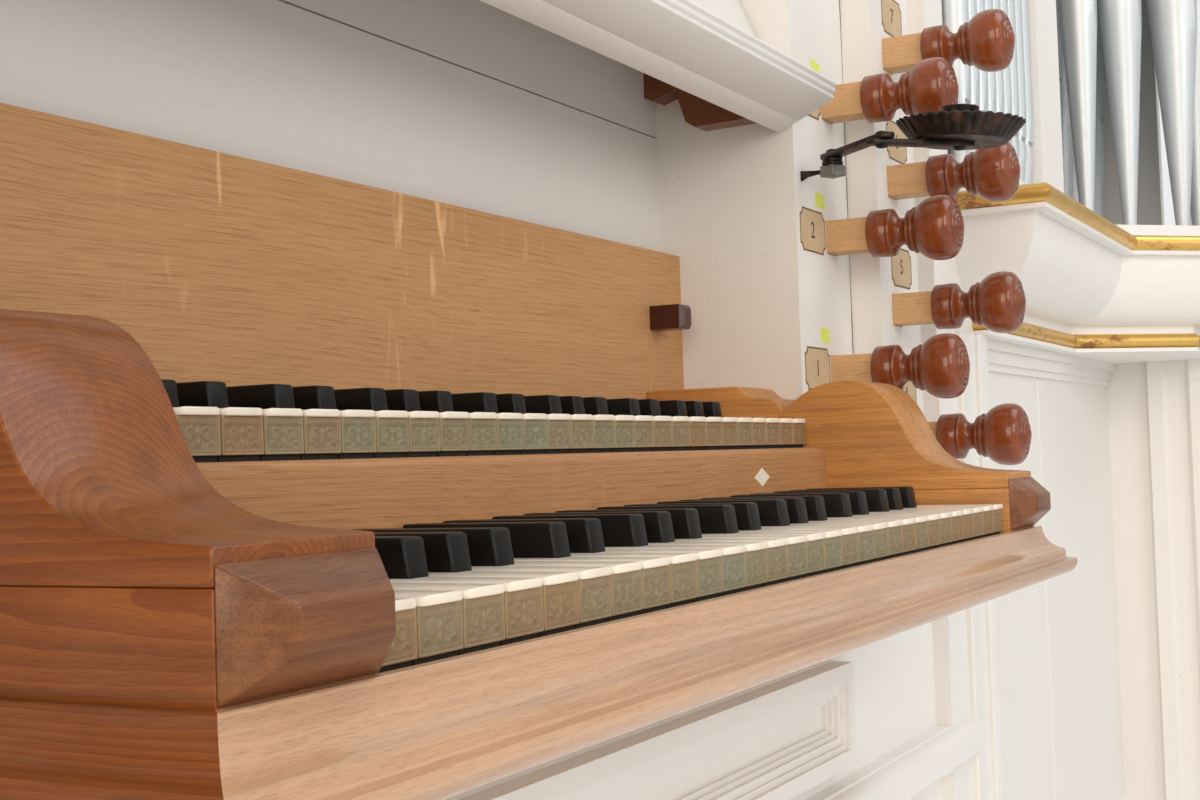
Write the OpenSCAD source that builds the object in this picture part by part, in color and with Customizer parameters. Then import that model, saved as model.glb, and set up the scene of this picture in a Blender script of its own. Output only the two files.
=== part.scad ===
// A two-manual pipe organ with stop jambs beside the keydesk and two pipe flanks.
// X runs along the keys, Y runs into the case, Z is up from the floor.

/* [Keydesk] */
// Height of the lower naturals' front edge above the floor
key_z = 850; // [780:5:900]
// Front plane of the lower naturals, measured from the middle of the case
key_y = -419; // [-430:1:-410]
// Pitch of the natural keys
key_pitch = 23; // [22:0.1:23]
// Height of a key front
key_front_h = 14; // [10:0.5:16]
// Thickness of the ivory on a natural
ivory_t = 3; // [1.5:0.1:4]
// Width of a sharp
sharp_w = 12; // [9:0.5:13]
// Height of a sharp above the ivory
sharp_h = 11; // [8:0.5:13]
// Rise from the lower manual to the upper one
manual_rise = 58.8; // [56:0.2:64]
// Setback of the upper manual behind the lower one
manual_back = 129.5; // [120:0.5:140]
// Thickness of a cheek
cheek_t = 62.5; // [40:0.5:70]

/* [Stops] */
// Width of the inner stop stile
inner_stile_w = 113; // [105:1:120]
// Width of the outer stop stile
outer_stile_w = 102; // [90:1:110]
// Side of a square stop shank
shank_w = 24; // [18:0.5:26]
// Clearance round a shank in its hole
shank_gap = 0.5; // [0.3:0.1:0.9]
// Length of shank that shows with the stop pushed in
shank_show = 27; // [20:1:32]
// Height from one stop of a column to the next
stop_pitch = 101.5; // [96:0.5:106]

/* [Case] */
// Depth of the case at the floor, from the flank fronts to the back
case_depth = 801; // [700:10:900]
// Half the width of the case at the floor
case_half_w = 1562; // [1562:1:1580]
// Height of the case under its cornice
case_h = 2250; // [2220:10:2400]
// Height of the cornice
cornice_h = 90; // [80:1:120]
// Thickness of the case boards
board_t = 24; // [20:1:26]

/* [Pipes] */
// Diameter of the middle pipe of a tower
tower_pipe_d = 72; // [60:1:76]
// Diameter of a pipe in the narrow flat
flat_pipe_d = 26; // [20:0.5:27]
// Length of a tower pipe's foot
foot_l = 290; // [240:5:320]
// Length of a flat pipe's foot
flat_foot_l = 60; // [40:5:150]

/* [Hidden] */
$fn = 48;

// Colours as the photo shows them
paint = [0.90, 0.88, 0.84];
oak = [0.76, 0.52, 0.30];
gilding = [0.80, 0.62, 0.25];
tin = [0.72, 0.75, 0.76];
iron = [0.20, 0.17, 0.15];

// Keys
naturals = 29;
first_edge = -naturals * key_pitch / 2;
octaves = 4;
sharp_steps = [1, 2, 4, 5, 6];
keys_half_w = naturals * key_pitch / 2 + 1;
key_gap = 1;
sharp_front = 34;
sharp_gap = 0.8;
front_plate_t = 2;
ivory_lip = 1.5;
visible_key_l = 113;
lever_drop = 17.5;
lower_lever_l = 220;
upper_lever_l = 120;

// Keydesk woodwork, as depths behind the key front and heights above it
desk_half_w = keys_half_w + cheek_t;
cheek_front = -4.3;
cheek_back = 248;
cheek_split = 12.6;
cheek_top = 86;
slip_front = 116;
slip_t = 12;
slip_low = 14.4;
slip_high = 42.4;
slip_round = 4;
upper_bed_low = 22;
upper_bed_t = manual_rise - lever_drop - upper_bed_low;
name_board_t = 15;
name_board_high = 188;
name_board_low = 60;
peg_x = 352;
peg_w = 17;
peg_l = 26;
peg_z = 138.5;
niche_back_y = 263;
niche_board_t = 18;
niche_joint_z = 278;
niche_top_z = 600;
bed_low = -46;
bed_out = 23;
ovolo_out = 18;
bead_out = 22;

// Stop stiles
inner_stile_y = 155;
outer_stile_y = 131;
inner_stile_x = desk_half_w;
outer_stile_x = inner_stile_x + inner_stile_w;
flank_x = outer_stile_x + outer_stile_w;
inner_stop_x = inner_stile_x + 74;
outer_stop_x = outer_stile_x + 40;
inner_stop_low = 99;
outer_stop_low = 48;
knob_l = 74;
collar_r = 17.5;
shank_l = 150;

// Flanks
flank_y = 118;
panel_y = 130;
panel_t = 16;
field_left = 750;
field_low = -720;
field_high = 110;
// Steps above and below the field: depth behind the frame's face, then rise
field_steps = [[5, 19], [8, 7]];
field_joint_x = 1020;
joint_w = 2.4;
pier_x = case_half_w - 160;
pier_y = 12;
pier_front_y = 79;
reed_left = 667.5;
reed_right = 747;
reed_split = 714;

// Impost plan: outer line of the upper gilt band
impost_low = 142;
impost_top = 256;
side_a_x = 651;
front_b_y = 29;
impost_side_x = case_half_w + 89;
inner_corner_x = impost_side_x - 593;
impost_fillet = 4;
tower_out = 110;
tower_y = front_b_y - tower_out;
tower_mid_x = (inner_corner_x + impost_side_x) / 2;
case_back_y = flank_y + case_depth;
gilt_r = 8;
gilt_in = 12;
lower_gilt_t = 72;
far = 4000;

// Upper case
riser_t = 44;
toe_t = 17;
toe_top = impost_top + toe_t;
cornice_low = case_h - key_z;
cornice_top = cornice_low + cornice_h;
post_x = inner_corner_x - 130;
post_w = 97;
post_y = 95;
pipe_line_t = 75;
foot_tip_d = 17;
upper_side_x = impost_side_x - riser_t;
upper_side_y = 82;
toe_depth = 200;

// Music desk
desk_lean = 24;
desk_panel_l = 235;
desk_panel_t = 16;
ledge_l = 46;
ledge_t = 11;
desk_gap = 2;

// Sconce, as places from the key front
sconce_knuckle = [411, 131];
sconce_elbow = [368, 80];
sconce_cup = [410, 38];
sconce_z = 250;
rivet_d = 5;
rivet_gap = 0.08;
link_t = 3;
link_w = 11;
pan_rim_r = 44.5;
pan_base_r = 29;
pan_h = 15;
// Depth that the pan is let into its arm
pan_seat = 0.4;
pan_wall = 1.5;
cup_d = 25;
cup_bore = 22;
cup_rise = 8;

// Places in the keydesk's own measures, moved to the floor frame
function fy(depth) = key_y + depth;
function fz(height) = key_z + height;

// Points along a cubic curve through four handles
function curve(a, b, c, d, steps = 10) = [
    for (i = [0 : steps]) let (t = i / steps, u = 1 - t)
        u * u * u * a + 3 * u * u * t * b + 3 * u * t * t * c + t * t * t * d
];

// A box from one corner to the other
module span(low, high) {
    translate(low) cube(high - low);
}

// The same piece on both sides
module both_sides() {
    children();
    mirror([1, 0, 0]) children();
}

// A side profile in Y and Z, given a thickness along X
module along_x(x0, x1) {
    translate([x0, 0, 0]) rotate([90, 0, 90]) linear_extrude(x1 - x0) children();
}

// An outline in X and Z, given a thickness along Y
module along_y(y0, y1) {
    translate([0, y1, 0]) rotate([90, 0, 0]) linear_extrude(y1 - y0) children();
}

// Keydesk: the moulded bed that everything on the desk stands on

// Edge of the bed: x is how far it stands out, y the height.
// From the top: a broad ovolo, a bead between two fillets and a rounded foot.
module bed_edge() {
    polygon(concat(
        [[-far, bed_low], [-far, -lever_drop]],
        curve([3, -lever_drop], [13, -lever_drop], [ovolo_out, -20.5], [ovolo_out, -27], 9),
        [[ovolo_out, -28.4]],
        curve([ovolo_out + 1.4, -28.4], [bead_out, -29.4], [bead_out, -33.4], [19.4, -34.8], 5),
        [[19.4, -36.2]],
        curve([20.6, -36.2], [23.4, -37.2], [24, bed_low + 2.4], [20.6, bed_low], 6)
    ));
}

module bed_front() {
    translate([0, fy(cheek_front), fz(0)]) rotate([90, 0, 90])
        translate([0, 0, -far / 2]) linear_extrude(far) mirror([1, 0]) bed_edge();
}

module bed_side() {
    translate([desk_half_w, far / 2, fz(0)]) rotate([90, 0, 0]) linear_extrude(far) bed_edge();
}

module keybed() {
    color(oak) {
        intersection() {
            bed_front();
            bed_side();
            mirror([1, 0, 0]) bed_side();
            span([-far, -far, fz(bed_low)], [far, fy(inner_stile_y), fz(-lever_drop)]);
        }
        span([-desk_half_w, fy(inner_stile_y), fz(bed_low)],
             [desk_half_w, fy(niche_back_y), fz(-lever_drop)]);
    }
}

module cheek_bases() {
    color(oak) both_sides()
        span([keys_half_w, fy(cheek_front), fz(-lever_drop)],
             [desk_half_w, fy(cheek_back), fz(cheek_split)]);
}

module cheek_outline() {
    polygon(concat(
        [[cheek_back, cheek_split], [cheek_back, cheek_top]],
        curve([182, cheek_top], [175, cheek_top], [174, 78], [166, 77.5], 6),
        curve([166, 77.5], [158, 77], [149, 77], [146.3, 67.4], 6),
        curve([146.3, 67.4], [139, 70], [132, cheek_top], [101, cheek_top], 10),
        curve([101, cheek_top], [84, cheek_top], [74, 77], [66, 61], 8),
        curve([66, 61], [58, 44], [55, 28], [20, 24], 12),
        [[cheek_front, 22.2], [cheek_front, cheek_split]]
    ));
}

module cheeks() {
    color(oak) both_sides()
        translate([0, key_y, key_z]) along_x(keys_half_w, desk_half_w) cheek_outline();
}

module cheek_noses() {
    nose_out = 15;
    color(oak) both_sides() translate([0, key_y, key_z]) hull() {
        span([keys_half_w, cheek_front - 0.5, -14.6], [desk_half_w, cheek_front, 19]);
        span([keys_half_w + 10, cheek_front - nose_out, -3],
             [desk_half_w - 10, cheek_front - nose_out + 0.5, 8.5]);
    }
}

// Keys

function edge_x(i) = first_edge + i * key_pitch;
// Edge numbers of the sharps, counted from the left end
sharp_edges = [for (o = [0 : octaves - 1]) for (s = sharp_steps) 7 * o + s];
function has_sharp(i) = len([for (e = sharp_edges) if (e == i) e]) > 0;
function side_cut(i) = has_sharp(i) ? sharp_w / 2 + sharp_gap : key_gap / 2;

// Outline of one natural from above, cut back beside its sharps
module natural_outline(i, front, back) {
    left = edge_x(i);
    right = edge_x(i + 1);
    polygon([
        [left + key_gap / 2, front], [right - key_gap / 2, front],
        [right - key_gap / 2, sharp_front - sharp_gap], [right - side_cut(i + 1), sharp_front - sharp_gap],
        [right - side_cut(i + 1), back], [left + side_cut(i), back],
        [left + side_cut(i), sharp_front - sharp_gap], [left + key_gap / 2, sharp_front - sharp_gap]
    ]);
}

module key_tops(depth, height) {
    color("ivory") translate([0, fy(depth), fz(height)])
        for (i = [0 : naturals - 1]) linear_extrude(ivory_t)
            natural_outline(i, -ivory_lip, visible_key_l);
}

module key_fronts(depth, height) {
    color("darkkhaki") translate([0, fy(depth), fz(height - key_front_h)])
        for (i = [0 : naturals - 1])
            translate([edge_x(i) + key_gap / 2, 0, 0])
                cube([key_pitch - key_gap, front_plate_t, key_front_h]);
}

module sharp_side(back) {
    polygon([
        [sharp_front, 0], [sharp_front + 3, ivory_t + sharp_h - 3],
        [sharp_front + 3.6, ivory_t + sharp_h - 1.2], [sharp_front + 5.2, ivory_t + sharp_h],
        [back, ivory_t + sharp_h], [back, 0]
    ]);
}

module sharps(depth, height) {
    color([0.10, 0.10, 0.11]) translate([0, fy(depth), fz(height)])
        for (e = sharp_edges)
            along_x(edge_x(e) - sharp_w / 2, edge_x(e) + sharp_w / 2) sharp_side(visible_key_l);
}

module lever_set(depth, height, length) {
    translate([0, fy(depth), fz(height - lever_drop)]) {
        for (i = [0 : naturals - 1]) linear_extrude(lever_drop)
            natural_outline(i, front_plate_t, length);
        for (e = sharp_edges)
            translate([edge_x(e) - sharp_w / 2, sharp_front, 0])
                cube([sharp_w, length - sharp_front, lever_drop]);
    }
}

module key_levers() {
    color("tan") {
        lever_set(0, 0, lower_lever_l);
        lever_set(manual_back, manual_rise, upper_lever_l);
    }
}

module lower_key_tops() {
    key_tops(0, 0);
}

module lower_key_fronts() {
    key_fronts(0, 0);
}

module lower_sharps() {
    sharps(0, 0);
}

module upper_key_tops() {
    key_tops(manual_back, manual_rise);
}

module upper_key_fronts() {
    key_fronts(manual_back, manual_rise);
}

module upper_sharps() {
    sharps(manual_back, manual_rise);
}

module upper_keybed() {
    color(oak)
        span([-keys_half_w, fy(slip_front + slip_t), fz(upper_bed_low)],
             [keys_half_w, fy(cheek_back), fz(upper_bed_low + upper_bed_t)]);
}

module key_slip() {
    color(oak) along_x(-keys_half_w, keys_half_w) translate([fy(slip_front), fz(0)]) {
        translate([slip_round, slip_low]) square([slip_t - slip_round, slip_high - slip_low]);
        translate([0, slip_low]) square([slip_t, slip_high - slip_low - slip_round]);
        translate([slip_round, slip_high - slip_round]) circle(r = slip_round);
    }
}

module name_board() {
    color(oak)
        span([-desk_half_w, fy(cheek_back), fz(name_board_low)],
             [desk_half_w, fy(cheek_back + name_board_t), fz(name_board_high)]);
}

// Square dark pegs with a chamfered end that hold the name board
module name_board_pegs() {
    color([0.25, 0.12, 0.08]) both_sides() translate([peg_x, fy(cheek_back), fz(peg_z)]) hull() {
        translate([-peg_w / 2, -peg_l + 3, -peg_w / 2]) cube([peg_w, peg_l - 3, peg_w]);
        translate([-peg_w / 2 + 3, -peg_l, -peg_w / 2 + 3]) cube([peg_w - 6, 1, peg_w - 6]);
    }
}

// Niche behind the manuals

module niche_back() {
    color(paint) {
        span([-desk_half_w, fy(niche_back_y), fz(bed_low)],
             [desk_half_w, fy(niche_back_y + niche_board_t), fz(niche_joint_z - 0.6)]);
        span([-desk_half_w, fy(niche_back_y), fz(niche_joint_z + 0.6)],
             [desk_half_w, fy(niche_back_y + niche_board_t), fz(niche_top_z)]);
    }
}

module niche_sides() {
    color(paint) both_sides()
        span([desk_half_w, fy(inner_stile_y + board_t), fz(bed_low)],
             [desk_half_w + niche_board_t, fy(niche_back_y + niche_board_t), fz(niche_top_z)]);
}

// Stops

inner_stop_heights = [for (i = [0 : 2]) inner_stop_low + i * stop_pitch];
outer_stop_heights = [for (i = [0 : 3]) outer_stop_low + i * stop_pitch];

module shank_holes(x, heights) {
    hole = shank_w + 2 * shank_gap;
    for (z = heights)
        translate([x - hole / 2, -far / 2, fz(z) - hole / 2]) cube([hole, far, hole]);
}

module inner_stop_stiles() {
    color(paint) both_sides() difference() {
        span([inner_stile_x, fy(inner_stile_y), 0],
             [outer_stile_x, fy(inner_stile_y + board_t), case_h]);
        shank_holes(inner_stop_x, inner_stop_heights);
    }
}

module outer_stop_stiles() {
    color(paint) both_sides() difference() {
        span([outer_stile_x, fy(outer_stile_y), 0],
             [flank_x, fy(outer_stile_y + board_t), case_h]);
        shank_holes(outer_stop_x, outer_stop_heights);
    }
}

// Half outline of a turned knob: radius, then distance from the shank's end.
// A collar, a cove, two beads, a barrel and three rings on the end.
module knob_outline() {
    neck_r = 9.8;
    barrel_r = 23;
    polygon(concat(
        [[0, 0], [collar_r - 1.5, 0], [collar_r - 0.3, 0.9], [collar_r, 14.8]],
        [[collar_r - 0.6, 15.3], [collar_r - 0.6, 15.9], [collar_r - 0.1, 16.4], [collar_r - 0.5, 17.8]],
        curve([collar_r - 1.7, 18.5], [12.5, 19.4], [neck_r + 0.3, 21.4], [neck_r, 24.4], 6),
        curve([neck_r, 27.4], [neck_r, 29], [11.2, 29.8], [12.4, 30.2], 4),
        curve([12.4, 30.2], [14.2, 30.4], [15, 31.2], [15, 32.3], 4),
        curve([13.8, 33.6], [15.6, 33.8], [16.6, 34.6], [16.6, 35.8], 4),
        curve([15, 38], [18.6, 41.5], [barrel_r, 48.5], [barrel_r, 56.5], 8),
        curve([barrel_r, 57.5], [barrel_r, 62.5], [20.5, 68], [15.4, 69.4], 7),
        [[14.2, 68.6], [11.7, 70.7], [10.4, 69.9], [8, 72], [6.7, 71.1], [4.4, 73.3], [0, knob_l]]
    ));
}

// One drawstop: square shank and turned knob, pushed in
module stop(x, face, height) {
    translate([x, fy(face), fz(height)]) {
        color(oak) translate([-shank_w / 2, -shank_show, -shank_w / 2])
            cube([shank_w, shank_show + shank_l, shank_w]);
        color([0.48, 0.16, 0.08]) translate([0, -shank_show, 0])
            rotate([90, 0, 0]) rotate_extrude() knob_outline();
    }
}

module inner_stop(n) {
    stop(inner_stop_x, inner_stile_y, inner_stop_heights[n - 1]);
}

module outer_stop(n) {
    stop(outer_stop_x, outer_stile_y, outer_stop_heights[n - 1]);
}

// Music desk: a leaning panel with a moulded ledge, on two cleats

desk_foot_y = 154.6;
desk_foot_z = 286;

// Depth of the desk panel's back face at a height
function desk_back(height) =
    desk_foot_y + desk_panel_t / cos(desk_lean) + (height - desk_foot_z) * tan(desk_lean);

module music_desk() {
    half = desk_half_w - desk_gap;
    color(paint) translate([0, fy(desk_foot_y), fz(desk_foot_z)]) rotate([-desk_lean, 0, 0]) {
        translate([-half, 0, -ledge_t]) cube([2 * half, desk_panel_t, desk_panel_l]);
        along_x(-half, half) difference() {
            translate([desk_panel_t - ledge_l, -ledge_t]) square([ledge_l - desk_panel_t, ledge_t]);
            translate([desk_panel_t - ledge_l, -ledge_t + 3.6]) circle(r = 1.2);
            translate([desk_panel_t - ledge_l, 0]) circle(r = 3);
        }
    }
}

module music_desk_cleats() {
    cleat_w = 20;
    foot_z = 279.5;
    top_z = 340;
    root_z = 305;
    color([0.45, 0.25, 0.13]) both_sides()
        translate([0, key_y, key_z]) along_x(desk_half_w - cleat_w, desk_half_w)
            polygon([
                [niche_back_y, top_z], [niche_back_y, root_z], [256, root_z - 3], [238, root_z + 3],
                [230, foot_z + 3.5], [223, foot_z - 1],
                [desk_back(foot_z), foot_z], [desk_back(top_z), top_z]
            ]);
}

// Knee board under the keydesk, with its small panel and rail

module knee_board() {
    color(paint)
        span([-outer_stile_x, fy(outer_stile_y), 0],
             [outer_stile_x, fy(inner_stile_y), fz(bed_low)]);
}

// Moulded frame: a flat band, then steps down to the sunk field
module knee_panel_frame() {
    frame_out = 14;
    half_w = desk_half_w - 23;
    low = -174;
    high = -105;
    // Each step: how far in from the outer edge, and how far down from the face
    steps = [[11, 3], [15, 5], [20, 8], [23, 11]];
    band = 26;
    color(paint) translate([0, 0, key_z]) difference() {
        along_y(fy(outer_stile_y - frame_out), fy(outer_stile_y))
            translate([-half_w, low]) square([2 * half_w, high - low]);
        for (s = steps) along_y(fy(outer_stile_y - 2 * frame_out), fy(outer_stile_y - frame_out + s[1]))
            translate([-half_w + s[0], low + s[0]])
                square([2 * (half_w - s[0]), high - low - 2 * s[0]]);
        along_y(fy(outer_stile_y - 2 * frame_out), fy(outer_stile_y) + 1)
            translate([-half_w + band, low + band])
                square([2 * (half_w - band), high - low - 2 * band]);
    }
}

// The rail runs across the face of the flanks as far as their reeds
module knee_rail() {
    rail_y = outer_stile_y - 23;
    high = -187;
    low = -218;
    color(paint) difference() {
        translate([0, key_y, key_z]) along_x(-reed_left, reed_left) polygon(concat(
            [[outer_stile_y, high], [outer_stile_y - 12, high]],
            curve([outer_stile_y - 12, high - 2], [rail_y + 5, high - 2], [rail_y, high - 5],
                  [rail_y, high - 10], 5),
            [[rail_y, low + 3], [rail_y + 2, low], [outer_stile_y, low]]
        ));
        both_sides() span([flank_x, fy(flank_y), 0], [far, far, far]);
    }
}

// Lower flanks

// The frame steps in above and below its field, runs behind the pier on the outside
// and carries a reeded stile on the inside
module flank_frames() {
    color(paint) both_sides() {
        difference() {
            span([flank_x, fy(flank_y), 0], [case_half_w - board_t, fy(flank_y + board_t), fz(impost_top)]);
            span([field_left, -far, fz(field_low)], [pier_x, far, fz(field_high)]);
            for (s = field_steps)
                span([field_left, -far, fz(field_low - s[1])],
                     [pier_x, fy(flank_y + s[0]), fz(field_high + s[1])]);
        }
        reeded_stile();
    }
}

// Outline from above: it rises in two small reeds, then falls to the field
module reeded_stile() {
    low_y = flank_y - 5;
    high_y = flank_y - 8;
    translate([0, key_y, 0]) linear_extrude(fz(impost_low - impost_fillet)) polygon(concat(
        [[reed_left, flank_y], [reed_left, low_y + 1]],
        curve([reed_left + 1, low_y], [reed_left + 18, low_y], [reed_split - 18, low_y + 3],
              [reed_split, low_y + 1], 6),
        [[reed_split, high_y + 1]],
        curve([reed_split + 1, high_y], [reed_split + 12, high_y - 1.5], [reed_right - 10, high_y - 1.5],
              [reed_right, high_y + 1], 6),
        [[reed_right, flank_y]]
    ));
}

// Two boards meet in the field: a narrow groove shows their joint
module flank_panels() {
    color(paint) both_sides() difference() {
        span([field_left, fy(panel_y), fz(field_low)], [pier_x, fy(panel_y + panel_t), fz(field_high)]);
        translate([field_joint_x, fy(panel_y), 0]) rotate([0, 0, 45])
            translate([-joint_w / 2, -joint_w / 2, 0]) cube([joint_w, joint_w, fz(field_high) + 1]);
    }
}

module corner_piers() {
    fillet = 12;
    color(paint) both_sides() translate([0, key_y, 0]) linear_extrude(fz(impost_low - impost_fillet))
        polygon([
            [pier_x, flank_y], [pier_x, pier_front_y], [pier_x - fillet, pier_front_y],
            [pier_x - fillet, 62], [pier_x - 4, 56], [pier_x - 4, 36], [pier_x - fillet, 30],
            [pier_x - fillet, pier_y], [case_half_w, pier_y], [case_half_w, flank_y]
        ]);
}

// Impost, gilt bands, toe boards and cornice share one plan.
// Each edge of the plan is a long bar with the moulding's profile on its outer side.

// A bar whose outer edge runs through a point at an angle, solid on the inner side
module edge_bar(point, angle) {
    translate([point[0], fy(point[1]), 0]) rotate([0, 0, angle])
        translate([-far / 2, 0, 0]) rotate([90, 0, 90]) linear_extrude(far) children();
}

// The right flank's plan, bounded at the back and at the middle
module flank_plan() {
    corner_in = [inner_corner_x, front_b_y];
    tower_corner = [impost_side_x, front_b_y];
    intersection() {
        edge_bar([side_a_x, 0], -90) children();
        edge_bar([0, front_b_y], 0) children();
        edge_bar([impost_side_x, 0], 90) children();
    }
    intersection() {
        edge_bar(corner_in, -45) children();
        edge_bar([0, tower_y], 0) children();
        edge_bar(tower_corner, 45) children();
        edge_bar([impost_side_x, 0], 90) children();
    }
}

// What lies inside the case walls, cut out of every moulding ring
module case_core(low, high) {
    span([-case_half_w, fy(flank_y), fz(low) - 1], [case_half_w, far, fz(high) + 1]);
}

module behind_case(low, high) {
    span([-far, fy(case_back_y), fz(low) - 1], [far, far, fz(high) + 1]);
}

// A bellied cove between the two gilt bands, with a small fillet at each
module impost_profile() {
    belly_x = 78;
    belly_top = impost_top - 20;
    belly_w = 60;
    belly_h = 70;
    polygon(concat(
        [[far, impost_top], [gilt_in, impost_top], [gilt_in, impost_top - 2 * gilt_r],
         [6, impost_top - 2 * gilt_r], [6, belly_top]],
        [for (a = [0 : 5 : 90]) [belly_x - belly_w * cos(a), belly_top - belly_h * sin(a)]],
        [[belly_x, impost_low], [belly_x - 4, impost_low], [belly_x - 4, impost_low - impost_fillet],
         [far, impost_low - impost_fillet]]
    ));
}

module imposts() {
    color(paint) both_sides() difference() {
        flank_plan() translate([0, key_z]) impost_profile();
        case_core(impost_low - impost_fillet, impost_top);
        behind_case(impost_low - impost_fillet, impost_top);
    }
}

// Half-round gilt band: its outer line stands t inside the plan's line
module gilt_profile(t, low, back) {
    translate([0, key_z]) {
        translate([t + gilt_r, low + gilt_r]) circle(r = gilt_r);
        translate([t + gilt_r, low]) square([back - gilt_r, 2 * gilt_r]);
    }
}

module gilt_ring(t, low, back) {
    difference() {
        flank_plan() gilt_profile(t, low, far);
        flank_plan() translate([t + back, fz(low) - 1]) square([far, 2 * gilt_r + 2]);
        behind_case(low, low + 2 * gilt_r);
        span([-far, fy(flank_y), 0], [case_half_w, far, far]);
    }
}

module gilt_mouldings() {
    color(gilding) both_sides() {
        gilt_ring(0, impost_top - 2 * gilt_r, gilt_in);
        gilt_ring(lower_gilt_t, impost_low, 6);
    }
}

module toe_boards() {
    color(paint) both_sides() difference() {
        union() {
            flank_plan() translate([riser_t, fz(impost_top)]) square([far, toe_t]);
            span([flank_x, fy(flank_y), fz(impost_top)],
                 [side_a_x + 60, fy(flank_y + toe_depth), fz(toe_top)]);
        }
        span([-far, fy(flank_y + toe_depth), 0], [far, far, far]);
    }
}

// Pipes

// Parts of a pipe, as shares of its diameter
lip_in = 0.1;
mouth_w = 0.7;
mouth_h = 0.2;
upper_lip_l = 1.3;
mouth_depth = 3;
pipe_bore_l = 60;
pipe_wall = 1.5;

// A flue pipe: conical foot, flattened lips with the mouth between them, open top
module pipe(diameter, foot, length) {
    r = diameter / 2;
    lip_y = r - lip_in * diameter;
    mouth_top = foot + mouth_h * diameter;
    lip_l = upper_lip_l * diameter;
    difference() {
        union() {
            cylinder(h = foot, d1 = foot_tip_d * diameter / (diameter + 14), d2 = diameter);
            translate([0, 0, foot]) cylinder(h = length - foot, d = diameter);
        }
        translate([0, 0, length - pipe_bore_l]) cylinder(h = pipe_bore_l + 1, d = diameter - 2 * pipe_wall);
        span([-diameter, -diameter, -1], [diameter, -lip_y, mouth_top]);
        span([-mouth_w * r, -diameter, foot], [mouth_w * r, -lip_y + mouth_depth, mouth_top]);
        translate([0, -lip_y, mouth_top]) rotate([atan(lip_in / upper_lip_l), 0, 0])
            span([-diameter, -diameter, 0], [diameter, 0, lip_l * 1.1]);
    }
}

// Tower pipes from its middle outward: across, forward, diameter, length
tower_pipe_l = cornice_low - toe_top - 27;
tower_pipes_half = [
    [81, 0, tower_pipe_d - 4, tower_pipe_l - 40],
    [161, 8, tower_pipe_d - 12, tower_pipe_l - 100],
    [211, 56, tower_pipe_d - 20, tower_pipe_l - 160],
    [249, 94, tower_pipe_d - 26, tower_pipe_l - 220]
];

// No pipe stands further out than this, where the side wall is
side_wall_reach = 240;

module tower_pipes() {
    row_y = fy(tower_y + pipe_line_t);
    color(tin) both_sides() translate([tower_mid_x, row_y, fz(toe_top)]) {
        pipe(tower_pipe_d, foot_l, tower_pipe_l);
        for (side = [-1, 1]) for (p = tower_pipes_half)
            if (side < 0 || p[0] < side_wall_reach)
                translate([side * p[0], p[1], 0]) pipe(p[2], foot_l, p[3]);
    }
}

// Clear space beside each pipe of the narrow flat
flat_gap = 2.8;
flat_left = flank_x + 56;
flat_count = floor((post_x - flat_left) / (flat_pipe_d + flat_gap));

module flat_pipes() {
    pitch = (post_x - flat_left) / flat_count;
    color(tin) both_sides() for (i = [0 : flat_count - 1])
        translate([flat_left + (i + 0.5) * pitch, fy(112), fz(toe_top)])
            pipe(flat_pipe_d, flat_foot_l, tower_pipe_l - 400 + 20 * i);
}

// Inner row behind the tower
inner_pipe_d = 44;
inner_foot_l = 200;
inner_pitch = 66;
inner_left = inner_corner_x + 32;
inner_reach = upper_side_x - board_t - inner_pipe_d / 2 - inner_left;
inner_pipe_count = floor(inner_reach / inner_pitch) + 1;

module inner_pipes() {
    color(tin) both_sides() for (i = [0 : inner_pipe_count - 1])
        translate([inner_left + inner_pitch * i, fy(165), fz(toe_top)])
            pipe(inner_pipe_d, inner_foot_l, tower_pipe_l - 280 + 24 * i);
}

module pipe_posts() {
    color(paint) both_sides() {
        span([flank_x, fy(flank_y), fz(toe_top)], [flat_left, fy(flank_y + board_t), case_h]);
        span([post_x, fy(post_y), fz(toe_top)], [post_x + post_w, fy(post_y + board_t), case_h]);
    }
}

// Cornice and closing boards

centre_front_y = 65;

module cornice_profile() {
    translate([0, fz(cornice_low)]) {
        translate([60, 0]) square([far, cornice_h]);
        translate([50, 12]) square([far, cornice_h - 12]);
        difference() {
            translate([14, cornice_h - 48]) square([far, 34]);
            translate([14, cornice_h - 48]) circle(r = 32);
        }
        translate([10, cornice_h - 18]) square([far, 18]);
    }
}

module cornice() {
    color(paint) difference() {
        union() {
            both_sides() flank_plan() cornice_profile();
            intersection() {
                edge_bar([0, centre_front_y], 0) cornice_profile();
                span([-side_a_x - 100, -far, 0], [side_a_x + 100, far, far]);
            }
        }
        span([-case_half_w, fy(flank_y + board_t + 42), 0], [case_half_w, far, far]);
        behind_case(cornice_low, cornice_top);
    }
}

module roof() {
    color(paint)
        span([-case_half_w, fy(flank_y + board_t + 42), fz(cornice_top) - 18],
             [case_half_w, fy(case_back_y), fz(cornice_top)]);
}

module side_walls() {
    color(paint) both_sides() {
        span([case_half_w - board_t, fy(flank_y), 0],
             [case_half_w, fy(case_back_y), fz(impost_top)]);
        span([upper_side_x - board_t, fy(upper_side_y), fz(toe_top)],
             [upper_side_x, fy(case_back_y), case_h]);
        span([upper_side_x - board_t, fy(flank_y + toe_depth), fz(impost_top)],
             [upper_side_x, fy(case_back_y), fz(toe_top)]);
    }
}

module back_wall() {
    inner = case_half_w - board_t;
    upper_inner = upper_side_x - board_t;
    color(paint) {
        span([-inner, fy(case_back_y - board_t), 0], [inner, fy(case_back_y), fz(impost_top)]);
        span([-upper_inner, fy(case_back_y - board_t), fz(impost_top)],
             [upper_inner, fy(case_back_y), case_h]);
        span([-case_half_w, fy(case_back_y - board_t), case_h],
             [case_half_w, fy(case_back_y), fz(cornice_top) - 18]);
    }
}

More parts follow.
